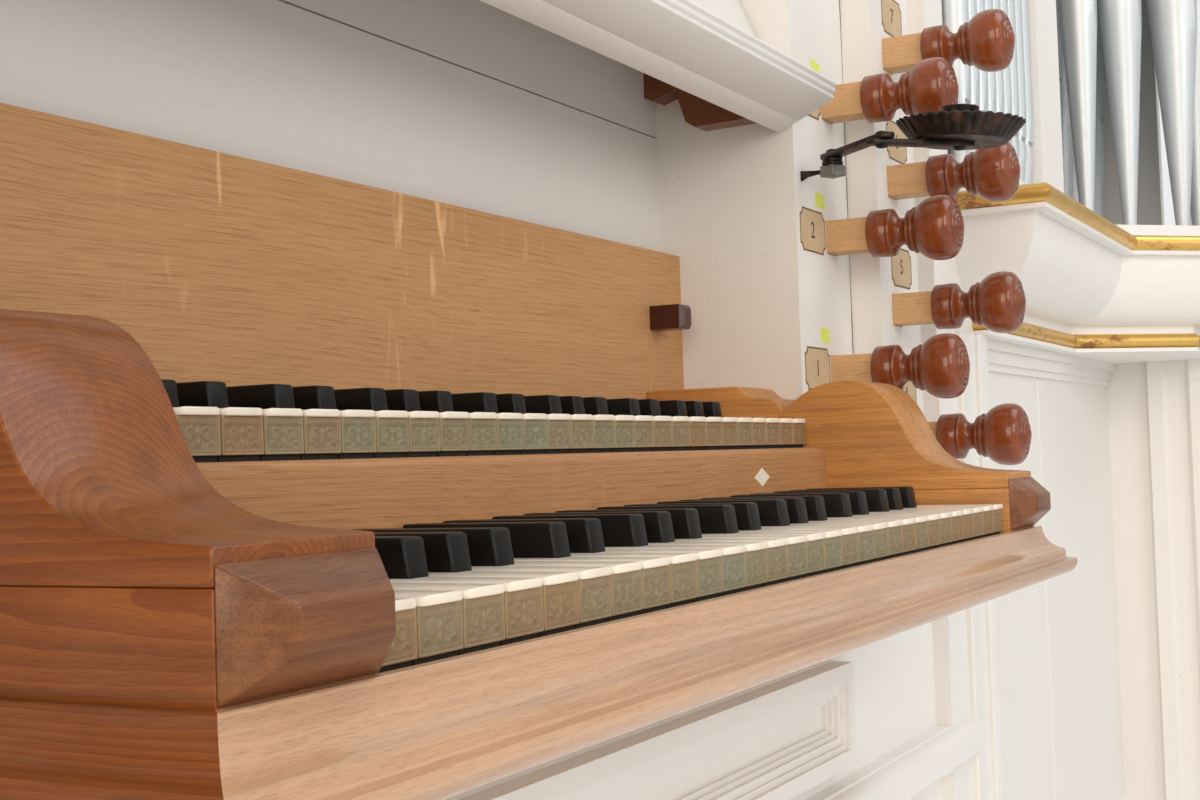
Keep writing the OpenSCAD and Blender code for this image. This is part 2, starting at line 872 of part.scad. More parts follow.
module centre_panel() {
    color(paint)
        span([-inner_stile_x + 60, fy(inner_stile_y + 10), fz(niche_top_z + 80)],
             [inner_stile_x - 60, fy(inner_stile_y + board_t), case_h - 80]);
}

module centre_frame() {
    color(paint) {
        difference() {
            span([-inner_stile_x, fy(inner_stile_y), fz(niche_top_z)],
                 [inner_stile_x, fy(inner_stile_y + board_t), case_h]);
            span([-inner_stile_x + 60, -far, fz(niche_top_z + 80)],
                 [inner_stile_x - 60, far, case_h - 80]);
        }
        span([-desk_half_w - niche_board_t, fy(inner_stile_y + board_t), fz(niche_top_z)],
             [desk_half_w + niche_board_t, fy(niche_back_y + niche_board_t), fz(niche_top_z + 18)]);
    }
}

// Sconce: a wall spike, two flat links and a fluted pan

module flat_link(from, to, z) {
    reach = norm(to - from);
    angle = atan2(to[1] - from[1], to[0] - from[0]);
    translate([from[0], fy(from[1]), fz(z)]) rotate([0, 0, angle]) {
        translate([0, -link_w / 2, 0]) cube([reach, link_w, link_t]);
        cylinder(h = link_t, d = link_w);
        translate([reach, 0, 0]) cylinder(h = link_t, d = link_w);
    }
}

module sconce_brackets() {
    color(iron) both_sides() translate([sconce_knuckle[0], fy(sconce_knuckle[1]), fz(0)]) {
        translate([0, 0, sconce_z - 16]) cylinder(h = 16, d = 14);
        translate([0, 0, sconce_z]) cylinder(h = link_t + 3, d = rivet_d);
        translate([-4, 0, sconce_z - 13]) cube([8, inner_stile_y - sconce_knuckle[1], 6]);
    }
}

module sconce_link() {
    color(iron) difference() {
        union() {
            flat_link(sconce_knuckle, sconce_elbow, sconce_z);
            translate([sconce_elbow[0], fy(sconce_elbow[1]), fz(sconce_z)])
                cylinder(h = 2 * link_t + 3, d = rivet_d);
        }
        translate([sconce_knuckle[0], fy(sconce_knuckle[1]), fz(sconce_z) - 1])
            cylinder(h = link_t + 2, d = rivet_d + 2 * rivet_gap);
    }
}

module sconce_arm() {
    arm_z = sconce_z + link_t;
    color(iron) {
        difference() {
            flat_link(sconce_elbow, sconce_cup, arm_z);
            translate([sconce_elbow[0], fy(sconce_elbow[1]), fz(arm_z) - 1])
                cylinder(h = link_t + 2, d = rivet_d + 2 * rivet_gap);
        }
        translate([sconce_cup[0], fy(sconce_cup[1]), fz(arm_z + link_t - pan_seat)]) {
            difference() {
                cylinder(h = pan_h, r1 = pan_base_r, r2 = pan_rim_r);
                translate([0, 0, pan_wall])
                    cylinder(h = pan_h, r1 = pan_base_r - 1, r2 = pan_rim_r - 1);
            }
            difference() {
                cylinder(h = pan_h + cup_rise, d = cup_d);
                translate([0, 0, cup_rise]) cylinder(h = pan_h + cup_rise, d = cup_bore);
            }
        }
    }
}

keybed();
cheek_bases();
cheeks();
cheek_noses();
key_levers();
lower_key_tops();
lower_key_fronts();
lower_sharps();
upper_key_tops();
upper_key_fronts();
upper_sharps();
upper_keybed();
key_slip();
name_board();
name_board_pegs();
niche_back();
niche_sides();
inner_stop_stiles();
outer_stop_stiles();
music_desk();
music_desk_cleats();
knee_board();
knee_panel_frame();
knee_rail();
flank_frames();
flank_panels();
corner_piers();
imposts();
gilt_mouldings();
toe_boards();
tower_pipes();
flat_pipes();
inner_pipes();
pipe_posts();
cornice();
roof();
side_walls();
back_wall();
centre_panel();
centre_frame();
inner_stop(1);  // right_inner_stop_1
inner_stop(2);  // right_inner_stop_2
inner_stop(3);  // right_inner_stop_3
outer_stop(1);  // right_outer_stop_1
outer_stop(2);  // right_outer_stop_2
outer_stop(3);  // right_outer_stop_3
outer_stop(4);  // right_outer_stop_4
mirror([1, 0, 0]) inner_stop(1);  // left_inner_stop_1
mirror([1, 0, 0]) inner_stop(2);  // left_inner_stop_2
mirror([1, 0, 0]) inner_stop(3);  // left_inner_stop_3
mirror([1, 0, 0]) outer_stop(1);  // left_outer_stop_1
mirror([1, 0, 0]) outer_stop(2);  // left_outer_stop_2
mirror([1, 0, 0]) outer_stop(3);  // left_outer_stop_3
mirror([1, 0, 0]) outer_stop(4);  // left_outer_stop_4
sconce_brackets();
sconce_link();  // right_sconce_link
sconce_arm();  // right_sconce_arm
mirror([1, 0, 0]) sconce_link();  // left_sconce_link
mirror([1, 0, 0]) sconce_arm();  // left_sconce_arm
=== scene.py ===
# %% [markdown]
# # Dressing a small pipe organ
# The imported CAD model gives the case, the keys, the stops and the pipes as solids. This lesson keeps them
# as a fixed frame, gives each a finish made of nodes, and builds the finer pieces that solids leave plain:
# rounded ivory, pressed key fronts, turned knobs and a fluted candle pan.

# %% Load the frame
import math
import random

import bmesh
import bpy
import numpy as np
from mathutils import Matrix, Vector


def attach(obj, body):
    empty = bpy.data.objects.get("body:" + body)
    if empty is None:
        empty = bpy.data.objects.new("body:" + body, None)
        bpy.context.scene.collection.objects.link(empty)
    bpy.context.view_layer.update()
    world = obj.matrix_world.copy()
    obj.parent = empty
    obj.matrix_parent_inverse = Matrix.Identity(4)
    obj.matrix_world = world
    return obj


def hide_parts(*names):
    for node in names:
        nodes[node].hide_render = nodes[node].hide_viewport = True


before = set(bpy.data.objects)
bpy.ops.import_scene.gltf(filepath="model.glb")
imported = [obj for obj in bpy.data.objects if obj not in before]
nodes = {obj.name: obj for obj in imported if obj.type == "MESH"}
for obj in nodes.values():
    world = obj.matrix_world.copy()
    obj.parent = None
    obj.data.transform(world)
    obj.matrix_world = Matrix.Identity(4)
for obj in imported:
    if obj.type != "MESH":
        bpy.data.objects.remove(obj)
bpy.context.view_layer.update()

# %% [markdown]
# ## Where things are
# The keydesk was measured from the front edge of the lower keys, so every place on it is easiest to give in
# those measures, in millimetres. One helper turns them into the frame's metres, and one does so for outlines
# that are seen from the side. Most pieces come in a right one and a left one, with the sign of their place.

# %% Places on the keydesk
KEY_FRONT, KEY_LEVEL = -0.419, 0.850
HANDS = (("right", 1), ("left", -1))


def place(across, depth, height):
    """A point given in millimetres from the lower keys' front edge, in the frame's metres."""
    return Vector((across / 1000, KEY_FRONT + depth / 1000, KEY_LEVEL + height / 1000))


def side_view(outline):
    """An outline of (depth, height) in millimetres, as the frame's (y, z)."""
    return [tuple(place(0, depth, height).yz) for depth, height in outline]


print("front edge of the keys:", tuple(round(c, 3) for c in place(0, 0, 0)))

# %% [markdown]
# ## The camera
# The photo was taken from close by, left of the keys and only just above them. Its lines were solved for one
# camera, given here by its heading, pitch, roll and focal length. A camera could also be aimed with a
# constraint, but three unit vectors leave no doubt about the roll.

# %% Camera
heading, pitch, roll = (math.radians(a) for a in (61.89, 2.13, -1.86))
FOCAL_PIXELS, PHOTO_WIDTH, SENSOR = 1595, 1200, 36

look = Vector((math.sin(heading) * math.cos(pitch), math.cos(heading) * math.cos(pitch), math.sin(pitch)))
level_right = Vector((math.cos(heading), -math.sin(heading), 0))
level_up = level_right.cross(look)
right = math.cos(roll) * level_right + math.sin(roll) * level_up
up = math.cos(roll) * level_up - math.sin(roll) * level_right

camera = bpy.data.objects.new("photo_camera", bpy.data.cameras.new("photo_camera"))
camera.data.sensor_width = SENSOR
camera.data.lens = SENSOR * FOCAL_PIXELS / PHOTO_WIDTH
camera.data.clip_start, camera.data.clip_end = 0.01, 100
camera.matrix_world = Matrix((right, up, -look)).transposed().to_4x4()
camera.location = place(-674.6, -253.5, 39.1)
bpy.context.scene.collection.objects.link(camera)
bpy.context.scene.camera = camera
print("camera at", tuple(round(c, 3) for c in camera.location), "lens", round(camera.data.lens, 1))

# %% [markdown]
# ## Light and floor
# The keydesk stands beside tall windows: a broad warm light comes from the left and a softer one from the
# front, two narrow tall windows further right show as crisp glints on the knobs, and a cool lamp above gives
# the tops their sheen. Large area lamps give soft shadows as a window does. A sun lamp would be simpler, but
# its shadows are too hard. The world fills the rest, and the camera sees it as a plain pale ground.

# %% World, lamps and floor
bpy.context.scene.view_settings.view_transform = "Standard"

world = bpy.data.worlds.new("soft_room")
world.use_nodes = True
bpy.context.scene.world = world
world.node_tree.nodes.clear()


def world_node(kind, **values):
    """Adds a node to the world and sets its inputs."""
    made = world.node_tree.nodes.new("ShaderNode" + kind)
    for name, value in values.items():
        made.inputs[name].default_value = value
    return made


PALE = (0.86, 0.86, 0.87, 1)
room = world_node("Background", Color=(1.0, 0.985, 0.96, 1), Strength=0.44)
backdrop = world_node("Background", Color=PALE, Strength=1.0)
rays = world_node("LightPath")
pick = world_node("MixShader")
out = world_node("OutputWorld")
for source, socket in ((rays.outputs["Is Camera Ray"], pick.inputs["Fac"]), (room.outputs[0], pick.inputs[1]),
                       (backdrop.outputs[0], pick.inputs[2]), (pick.outputs[0], out.inputs["Surface"])):
    world.node_tree.links.new(source, socket)


def area_lamp(name, spot, target, size, watts, colour):
    """A rectangular lamp at a spot, turned so that it shines at a target."""
    lamp = bpy.data.objects.new(name, bpy.data.lights.new(name, "AREA"))
    lamp.data.shape = "RECTANGLE"
    lamp.data.size, lamp.data.size_y = size
    lamp.data.energy = watts
    lamp.data.color = colour
    lamp.location = spot
    lamp.rotation_euler = (Vector(target) - Vector(spot)).to_track_quat("-Z", "Y").to_euler()
    bpy.context.scene.collection.objects.link(lamp)


area_lamp("left_windows", (-5.8, -2.3, 2.3), (0.2, -0.3, 1.0), (3.6, 3.6), 178, (1.0, 0.88, 0.74))
area_lamp("front_fill", (-0.9, -3.4, 2.0), (0, -0.2, 1.0), (1.6, 1.6), 36, (1.0, 0.97, 0.93))
area_lamp("ceiling_light", (1.5, -2.8, 4.9), (-0.2, -0.4, 0.9), (3.2, 3.2), 80, (0.86, 0.93, 1.0))
for across in (0.65, 1.35):
    area_lamp("front_window", (across, -3.4, 1.6), (0.5, -0.3, 1.0), (0.45, 2.0), 3.5, (0.95, 0.97, 1.0))
area_lamp("back_fill", (2.6, 4.4, 3.2), (0, 0.5, 1.2), (3.0, 3.0), 70, (1.0, 0.97, 0.94))

FLOOR_HALF = 30
floor_mesh = bpy.data.meshes.new("floor")
floor_mesh.from_pydata([(x * FLOOR_HALF, y * FLOOR_HALF, 0) for x, y in ((-1, -1), (1, -1), (1, 1), (-1, 1))],
                       [], [(0, 1, 2, 3)])
floor = bpy.data.objects.new("floor", floor_mesh)
bpy.context.scene.collection.objects.link(floor)

# %% [markdown]
# ## Sums in shader nodes
# A finish is mostly arithmetic on noise: stretch it, sharpen it, mask one pattern with another. Placing each
# Math node by hand hides that arithmetic, so this small class wraps a socket and lets the finish be written
# as a sum. Colours don't go through it, because a Math node turns them grey.


# %% A socket that can be added and multiplied
class Term:
    """An output socket that takes part in sums: each sum adds one Math node."""

    def __init__(self, tree, socket):
        self.tree, self.socket = tree, socket

    def maths(self, operation, first, second):
        made = self.tree.nodes.new("ShaderNodeMath")
        made.operation = operation
        for slot, value in zip(made.inputs, (first, second)):
            if isinstance(value, Term):
                self.tree.links.new(value.socket, slot)
            else:
                slot.default_value = value
        return Term(self.tree, made.outputs[0])

    def __add__(self, other):
        return self.maths("ADD", self, other)

    def __radd__(self, other):
        return self.maths("ADD", other, self)

    def __sub__(self, other):
        return self.maths("SUBTRACT", self, other)

    def __rsub__(self, other):
        return self.maths("SUBTRACT", other, self)

    def __mul__(self, other):
        return self.maths("MULTIPLY", self, other)

    def __rmul__(self, other):
        return self.maths("MULTIPLY", other, self)


print("an output socket can now be added, subtracted and multiplied")

# %% [markdown]
# ## One finish at a time
# `Finish` holds a material while it is made. Its `node` method adds any node from a type, its settings and
# its inputs. The helpers after it are the few patterns that nearly every finish here uses: noise stretched
# along the grain, a ramp that sharpens it, and a mix of two colours.


# %% A material in the making
class Finish:
    def __init__(self, name, **constants):
        self.material = bpy.data.materials.new(name)
        self.material.use_nodes = True
        self.tree = self.material.node_tree
        self.shader = self.tree.nodes["Principled BSDF"]
        for socket, number in constants.items():
            self.shader.inputs[socket.replace("_", " ")].default_value = number
        self.here = self.node("TexCoord", out="Object")

    def node(self, kind, settings=None, inputs=None, out=0):
        """Adds a node: its type, its settings, then the values or links of its sockets."""
        made = self.tree.nodes.new("ShaderNode" + kind)
        for name, value in (settings or {}).items():
            if name == "stops":
                while len(made.color_ramp.elements) < len(value):
                    made.color_ramp.elements.new(0.5)
                for element, (position, tone) in zip(made.color_ramp.elements, value):
                    element.position, element.color = position, (tone, tone, tone, 1)
            else:
                setattr(made, name, value)
        for name, value in (inputs or {}).items():
            if isinstance(value, Term):
                self.tree.links.new(value.socket, made.inputs[name])
            else:
                made.inputs[name].default_value = value
        return Term(self.tree, made.outputs[out])

    def stretch(self, scale, turn=(0, 0, 0), where=None):
        """Coordinates turned, then scaled by a different number along each axis."""
        return self.node("Mapping", {"vector_type": "POINT"},
                         {"Vector": where or self.here, "Rotation": turn, "Scale": scale})

    def noise(self, scale, where=None, detail=3.0, rough=0.5, twist=0.0):
        """Noise between 0 and 1; scale is one number, or three to stretch it."""
        at = self.stretch(scale if isinstance(scale, tuple) else (scale,) * 3, where=where)
        return self.node("TexNoise", {}, {"Vector": at, "Scale": 1.0, "Detail": detail,
                                          "Roughness": rough, "Distortion": twist})

    def ramp(self, value, *stops):
        """A curve through stops of (position, height)."""
        return self.node("ValToRGB", {"stops": stops}, {"Fac": value})

    def painted(self, name):
        """A number that was written on each point of the mesh."""
        return self.node("Attribute", {"attribute_name": name}, out="Fac")

    def mix(self, factor, a, b):
        """Two colours, or links that carry colours, mixed by a factor."""
        settings = {"data_type": "RGBA", "clamp_factor": True}
        a, b = ((*c, 1) if isinstance(c, tuple) else c for c in (a, b))
        return self.node("Mix", settings, {0: factor, 6: a, 7: b}, out=2)

    def done(self, colour, roughness=None, height=None, depth=0.0002, metal=None):
        """Links what varies to the shader and gives back the material."""
        for name, value in (("Base Color", colour), ("Roughness", roughness), ("Metallic", metal)):
            if value is not None:
                self.tree.links.new(value.socket, self.shader.inputs[name])
        if height is not None:
            bumped = self.node("Bump", {}, {"Height": height, "Strength": 1.0, "Distance": depth},
                               out="Normal")
            self.tree.links.new(bumped.socket, self.shader.inputs["Normal"])
        return self.material


def mottled(name, scale, first, second, rough, detail=3.0):
    """A matt finish in two tones, for small or shaded things such as ink or the dark in a crack."""
    finish = Finish(name, Roughness=rough)
    return finish.done(finish.mix(finish.noise(scale, detail=detail), first, second))


def dress(material, *names):
    """Gives CAD nodes their finish through their material slots."""
    for name in names:
        for slot in nodes[name].material_slots:
            slot.material = material


print("slots to dress:", sum(len(node.material_slots) for node in nodes.values()))

# %% [markdown]
# ## The pale floor
# It only catches the shadow. A hint of mottling keeps it from being one flat colour, and for camera rays half
# of it is plain pale light, so that the ground stays even far from the lamps and still holds the shadow.

# %% Floor finish
ground = Finish("pale_floor", Roughness=0.8)
tone = ground.mix(ground.noise(0.8), (0.80, 0.80, 0.80), (0.83, 0.83, 0.83))
floor.data.materials.append(ground.done(tone))
even = ground.node("Emission", {}, {"Color": PALE})
seen = ground.node("LightPath", out="Is Camera Ray") * 0.5
blend = ground.node("MixShader", {}, {0: seen, 1: Term(ground.tree, ground.shader.outputs[0]), 2: even})
ground.tree.links.new(blend.socket, ground.tree.nodes["Material Output"].inputs["Surface"])
print("floor nodes:", len(ground.tree.nodes))

# %% [markdown]
# ## White paint
# The case is painted off-white over wood, by brush. Seen close, the coat is a little cloudy, carries faint
# strokes along each board, and has small ochre specks where dirt or old paint shows. The strokes run upright
# on stiles and panels and level on rails, so the finish takes the direction as a value.


# %% Paint finish
def brushed_paint(name, tone, shade, strokes, specks=0.35):
    """Off-white paint whose brush strokes follow the long axis of `strokes`."""
    finish = Finish(name, IOR=1.45)
    cloud = finish.noise(3.0, detail=4.0, rough=0.6)
    stroke = finish.noise(strokes, detail=4.0, rough=0.65)
    dirt = finish.ramp(finish.noise(150.0, detail=2.0), (0.66, 0.0), (0.76, 1.0))
    patch = finish.ramp(finish.noise(9.0, detail=3.0), (0.48, 0.0), (0.72, 1.0))
    speck = dirt * patch * specks
    coat = finish.mix(cloud * 0.7 + stroke * 0.35, shade, tone)
    colour = finish.mix(speck, coat, (0.52, 0.36, 0.20))
    height = stroke * 0.8 + finish.noise(700.0, detail=1.0) * 0.12
    return finish.done(colour, 0.36 + stroke * 0.22, height, 0.00025)


UPRIGHT, LEVEL = (160, 160, 6), (6, 160, 160)
paint_upright = brushed_paint("paint_upright", (0.84, 0.81, 0.77), (0.76, 0.73, 0.69), UPRIGHT)
paint_level = brushed_paint("paint_level", (0.83, 0.80, 0.76), (0.75, 0.72, 0.69), LEVEL)
paint_cove = brushed_paint("paint_cove", (0.86, 0.84, 0.80), (0.80, 0.77, 0.73), LEVEL, 0.15)
# The niche back gets a darker copy of the paint: painted shade for the recess under the music desk.
paint_niche_shade = brushed_paint("paint_niche_shade", (0.74, 0.71, 0.68), (0.66, 0.63, 0.60), LEVEL, 0.2)
dress(paint_upright, "niche_sides", "inner_stop_stiles", "outer_stop_stiles", "flank_frames", "flank_panels",
      "corner_piers", "pipe_posts", "side_walls", "back_wall", "centre_panel", "centre_frame", "knee_board")
dress(paint_level, "knee_panel_frame", "knee_rail", "toe_boards", "cornice", "roof", "music_desk")
dress(paint_cove, "imposts")
dress(paint_niche_shade, "niche_back")
print("paint on", sum(nodes[n].material_slots[0].material.name.startswith("paint") for n in nodes), "nodes")

# %% [markdown]
# ## Oak
# The keydesk is oiled oak. Three things make oak look like oak: growth rings, which show as lines along the
# grain, the short dark dashes of its open pores, and on boards sawn towards the heart, the pale ray flecks
# that run across the grain. Each is one pattern, stretched along the grain, and they are laid over each
# other. A photograph of oak would be quicker, but noise fits any board and never repeats.


# %% Oak finish
ALONG_X, ALONG_Y = (0, 0, 0), (0, 0, math.radians(90))


def oak(name, light, dark, turn, figure="bands", ring=0.0035, rays=0.0, centre=(0, 0, 0), gloss=0.3,
        pore=(150, 2300, 2300), open_pores=0.35, flames=0.0):
    """Oak with its grain along the axis that `turn` brings to X. Figure is bands or rings."""
    finish = Finish(name, IOR=1.5, Coat_Roughness=0.16, Coat_Weight=gloss, Specular_IOR_Level=0.3)
    grain = finish.stretch((1, 1, 1), turn)
    grain = finish.node("VectorMath", {"operation": "SUBTRACT"}, {0: grain, 1: centre})
    sway = finish.noise((1.6, 9, 9), grain, detail=2.0)
    waver = finish.node("VectorMath", {"operation": "SCALE"}, {0: finish.node(
        "CombineXYZ", {}, {"Y": sway - 0.5, "Z": sway - 0.5}), "Scale": 0.035})
    bent = finish.node("VectorMath", {"operation": "ADD"}, {0: grain, 1: waver})
    about = {"bands": "Z", "rings": "X"}[figure]
    growth = finish.node("TexWave", {"wave_type": figure.upper(), figure + "_direction": about,
                                     "wave_profile": "SAW"}, {
        "Vector": bent, "Scale": 2 * math.pi / (20 * ring), "Distortion": 1.5, "Detail": 1.0,
        "Detail Scale": 0.4}, out="Fac")
    pores = finish.ramp(finish.noise(pore, bent, detail=2.0, rough=0.6), (0.54, 0.0), (0.68, 1.0))
    streak = finish.noise((4, 60, 60), bent, detail=4.0, rough=0.6)
    board = finish.noise((0.8, 3.0, 3.0), grain, detail=2.0)
    rings = 0.60 if figure == "rings" else 0.30 - flames * 0.15
    wood = finish.mix(streak * 0.55 + growth * rings + board * 0.30 - 0.08, light, dark)
    pore_tone = tuple(c * 0.42 for c in dark)
    wood = finish.mix(pores * (growth * open_pores + open_pores), wood, pore_tone)
    if flames:
        flame = finish.noise((4, 120, 120), bent, detail=4.0, rough=0.65)
        flame = finish.ramp(flame, (0.44, 0.0), (0.66, 1.0))
        fibre = finish.noise((18, 520, 520), bent, detail=3.0)
        wood = finish.mix(flame * flames + fibre * 0.3 - 0.1, wood, tuple(c * 0.45 for c in dark))
    if rays:
        fleck = finish.noise((70, 55, 11), bent, detail=2.0, rough=0.5, twist=0.9)
        where = finish.ramp(finish.noise(5.0, grain, detail=2.0), (0.52, 0.0), (0.66, 1.0))
        fleck = finish.ramp(fleck, (0.60, 0.0), (0.70, 1.0)) * where
        wood = finish.mix(fleck * rays, wood, tuple(min(1.0, c * 1.5 + 0.06) for c in light))
    height = 1 - pores * 0.8 - growth * 0.15
    return finish.done(wood, 0.34 + streak * 0.2 + pores * 0.15, height, 0.00012)


oak_board = oak("oak_name_board", (0.60, 0.335, 0.150), (0.44, 0.215, 0.085), ALONG_X, rays=0.75, gloss=0.05,
                pore=(24, 1600, 1600), open_pores=0.22)
oak_slip = oak("oak_slip", (0.52, 0.262, 0.108), (0.36, 0.155, 0.058), ALONG_X, rays=0.3, gloss=0.15,
               pore=(26, 1700, 1700), open_pores=0.22)
oak_bed = oak("oak_bed", (0.70, 0.44, 0.27), (0.50, 0.265, 0.14), ALONG_X, gloss=0.95, flames=0.3,
              open_pores=0.08)
oak_light = oak("oak_right_cheek", (0.66, 0.315, 0.092), (0.46, 0.175, 0.043), ALONG_Y, gloss=0.2,
                flames=0.40, pore=(60, 1800, 1800), open_pores=0.25)
oak_dark = oak("oak_left_cheek", (0.34, 0.105, 0.013), (0.20, 0.046, 0.005), ALONG_Y, "rings", 0.0024,
               centre=(0, -0.378, 0.862), gloss=0.35, flames=0.35, open_pores=0.04)
oak_end = oak("oak_front_block", (0.27, 0.098, 0.030), (0.15, 0.045, 0.013), ALONG_X, gloss=0.3,
              flames=0.5, open_pores=0.12)
oak_pale = oak("oak_shank", (0.68, 0.42, 0.205), (0.52, 0.29, 0.130), ALONG_Y, ring=0.003, gloss=0.05,
               open_pores=0.2)
dress(oak_board, "name_board")
dress(oak_slip, "key_slip", "upper_keybed")
print("oaks:", sum(m.name.startswith("oak") for m in bpy.data.materials))

# %% [markdown]
# ## Ends of the key levers
# Under the ivory a dark slot shows the ends of the levers. They are old wood in shade, and their matt, nearly
# black finish is painted shade. It keeps a hint of grain, because plain black would look like a hole.

# %% Lever ends
# Near-black painted shade for the lever ends.
dress(mottled("lever_ends_shade", (300, 300, 40), (0.012, 0.009, 0.007), (0.030, 0.022, 0.017), 0.9), "key_levers")
print("levers dressed with", nodes["key_levers"].material_slots[0].material.name)

# %% [markdown]
# ## Dark woods
# The pegs that hold the name board are a dark red-brown hardwood with a fine straight grain, and the stop
# knobs are a polished one. The oak cleats under the music desk get the same finish in a dark red-brown tone,
# which is partly painted shade from the desk above. Each could have a finish of its own, but one function in
# three tones is shorter. The knobs also get a faint ripple and painted shade in their grooves.


# %% Dark wood finish
def fine_wood(name, light, dark, stretch, gloss, turned_piece=False):
    """Hardwood with a fine grain; a turned piece also shows ripple and painted shade in its grooves."""
    finish = Finish(name, IOR=1.5, Coat_Weight=gloss, Coat_Roughness=0.07, Specular_IOR_Level=0.25)
    grain = finish.noise(stretch, detail=4.0, rough=0.62, twist=0.3)
    board = finish.noise(14.0, detail=2.0)
    colour = finish.mix(grain * 0.75 + board * 0.5 - 0.12, light, dark)
    if turned_piece:
        ripple = finish.ramp(finish.noise((30, 240, 30), detail=2.0), (0.45, 0.0), (0.62, 1.0))
        colour = finish.mix(ripple * 0.12, colour, tuple(min(1.0, c * 1.9) for c in light))
        # The groove mask darkens the knobs' grooves: painted shade.
        colour = finish.mix(finish.painted("groove") * 0.85, colour, tuple(c * 0.2 for c in dark))
    return finish.done(colour, 0.22 + grain * 0.20, grain, 0.00006)


peg_wood = fine_wood("peg_wood", (0.085, 0.016, 0.006), (0.030, 0.006, 0.003), (300, 40, 300), 0.25)
# The cleats' dark tone is partly painted shade under the music desk.
cleat_wood_shaded = fine_wood("cleat_wood_shaded", (0.27, 0.095, 0.034), (0.12, 0.040, 0.015), (40, 300, 300), 0.2)
polished = fine_wood("stop_wood", (0.28, 0.066, 0.014), (0.115, 0.021, 0.006), (260, 22, 260), 0.55,
                     turned_piece=True)
STOPS = [n for n in nodes if "_stop_" in n and n[-1].isdigit()]
dress(peg_wood, "name_board_pegs")
dress(cleat_wood_shaded, "music_desk_cleats")
dress(polished, *STOPS)
print("stops:", len(STOPS))

# %% [markdown]
# ## Gilding
# The two bands are gold leaf laid over red bole and rubbed through in places. The wear could follow the edges
# of the shape, but on these thin bands it sits in patches. So one noise decides where the bole shows, and it
# makes the same places redder, rougher and less metallic.

# %% Gilding
gild = Finish("gold_leaf", IOR=1.5)
worn = gild.ramp(gild.noise((14, 14, 40), detail=5.0, rough=0.7), (0.56, 0.0), (0.66, 1.0))
leaf = gild.mix(gild.noise(60.0, detail=3.0), (0.90, 0.60, 0.19), (0.68, 0.41, 0.10))
old_gold = gild.mix(worn * 0.85, leaf, (0.24, 0.070, 0.028))
gold_leaf = gild.done(old_gold, 0.30 + worn * 0.3 + gild.noise(90.0) * 0.15, gild.noise(120.0, detail=4.0),
                      0.0004, metal=0.95 - worn * 0.6)
dress(gold_leaf, "gilt_mouldings")
print("gilding nodes:", len(gild.tree.nodes))

# %% [markdown]
# ## Pipe metal
# The pipes are planed tin: a soft grey metal with upright strokes from the plane, brighter and duller in
# patches. As a full metal it would mirror whatever stands round it, so it is part metal and part grey, which
# looks like the dull sheen of old tin in any light.

# %% Pipe metal
tin = Finish("planed_tin", IOR=1.5)
planed = tin.noise((110, 110, 2.5), detail=4.0, rough=0.6)
dull = tin.noise((4, 4, 1.2), detail=4.0, rough=0.6)
tarnish = tin.ramp(tin.noise(26.0, detail=5.0, rough=0.7), (0.55, 0.0), (0.75, 1.0))
metal_tone = tin.mix(dull, (0.68, 0.71, 0.73), (0.54, 0.58, 0.61))
metal_tone = tin.mix(tarnish * 0.4, metal_tone, (0.52, 0.51, 0.49))
pipe_metal = tin.done(metal_tone, 0.30 + planed * 0.14 + dull * 0.10, planed, 0.00015,
                      metal=0.42 - tarnish * 0.15)
dress(pipe_metal, "tower_pipes", "flat_pipes", "inner_pipes")
print("pipe metal nodes:", len(tin.tree.nodes))

# %% [markdown]
# ## Ivory
# The naturals are covered with bone, which is cream, with fine lines along its length and yellow stains.
# Light goes a little way into it, so the shader gets some subsurface scattering, and a thin coat stands for
# the polish of use.

# %% Ivory
bone = Finish("ivory", IOR=1.54, Coat_Weight=0.35, Coat_Roughness=0.12, Subsurface_Weight=0.12,
              Subsurface_Scale=0.002)
lines = bone.noise((500, 14, 500), detail=3.0)
stain = bone.ramp(bone.noise(55.0, detail=4.0, rough=0.6), (0.50, 0.0), (0.75, 1.0))
cream = bone.mix(lines, (0.91, 0.82, 0.70), (0.85, 0.74, 0.60))
ivory = bone.done(bone.mix(stain * 0.35, cream, (0.66, 0.50, 0.33)), 0.28 + lines * 0.14, lines, 0.00003)
dress(ivory, "lower_key_tops", "upper_key_tops")
print("ivory nodes:", len(bone.tree.nodes))

# %% [markdown]
# ## Ebony
# The sharps are ebony, black with a slightly paler fibre along them. Wood this dark takes its look from its
# gloss, so the fibre also changes the roughness, and a low specular level keeps it from turning grey.

# %% Ebony
black = Finish("ebony", IOR=1.5, Specular_IOR_Level=0.22)
fibre = black.noise((500, 16, 500), detail=3.0)
worn_black = black.mix(fibre, (0.003, 0.0026, 0.0025), (0.008, 0.0066, 0.006))
ebony = black.done(worn_black, 0.30 + fibre * 0.16, fibre, 0.00004)
dress(ebony, "lower_sharps", "upper_sharps")
print("ebony nodes:", len(black.tree.nodes))

# %% [markdown]
# ## Iron
# The candle sconces are forged iron, nearly black, with brown rust in patches and the marks of the hammer.
# The block at the wall is worn to a lighter grey. Rust isn't a metal, so where it lies the metallic value
# drops and the roughness rises.


# %% Iron
def iron_finish(name, bare, rusty):
    """Hammered iron in the tones of its bare and its rusty places."""
    forged = Finish(name, IOR=1.5)
    hammer = forged.noise(220.0, detail=4.0, rough=0.6)
    rust = forged.ramp(forged.noise((90, 90, 24), detail=5.0, rough=0.7), (0.48, 0.0), (0.66, 1.0))
    tone = forged.mix(rust * 0.75, bare, rusty)
    return forged.done(tone, 0.34 + rust * 0.25 + hammer * 0.1, hammer, 0.0003, metal=0.75 - rust * 0.55)


iron = iron_finish("forged_iron", (0.022, 0.018, 0.016), (0.075, 0.028, 0.012))
grey_iron = iron_finish("worn_iron", (0.26, 0.255, 0.225), (0.13, 0.10, 0.07))
dress(iron, "sconce_brackets", *(f"{hand}_sconce_{part}" for hand, _ in HANDS for part in ("link", "arm")))
print("materials so far:", len(bpy.data.materials))

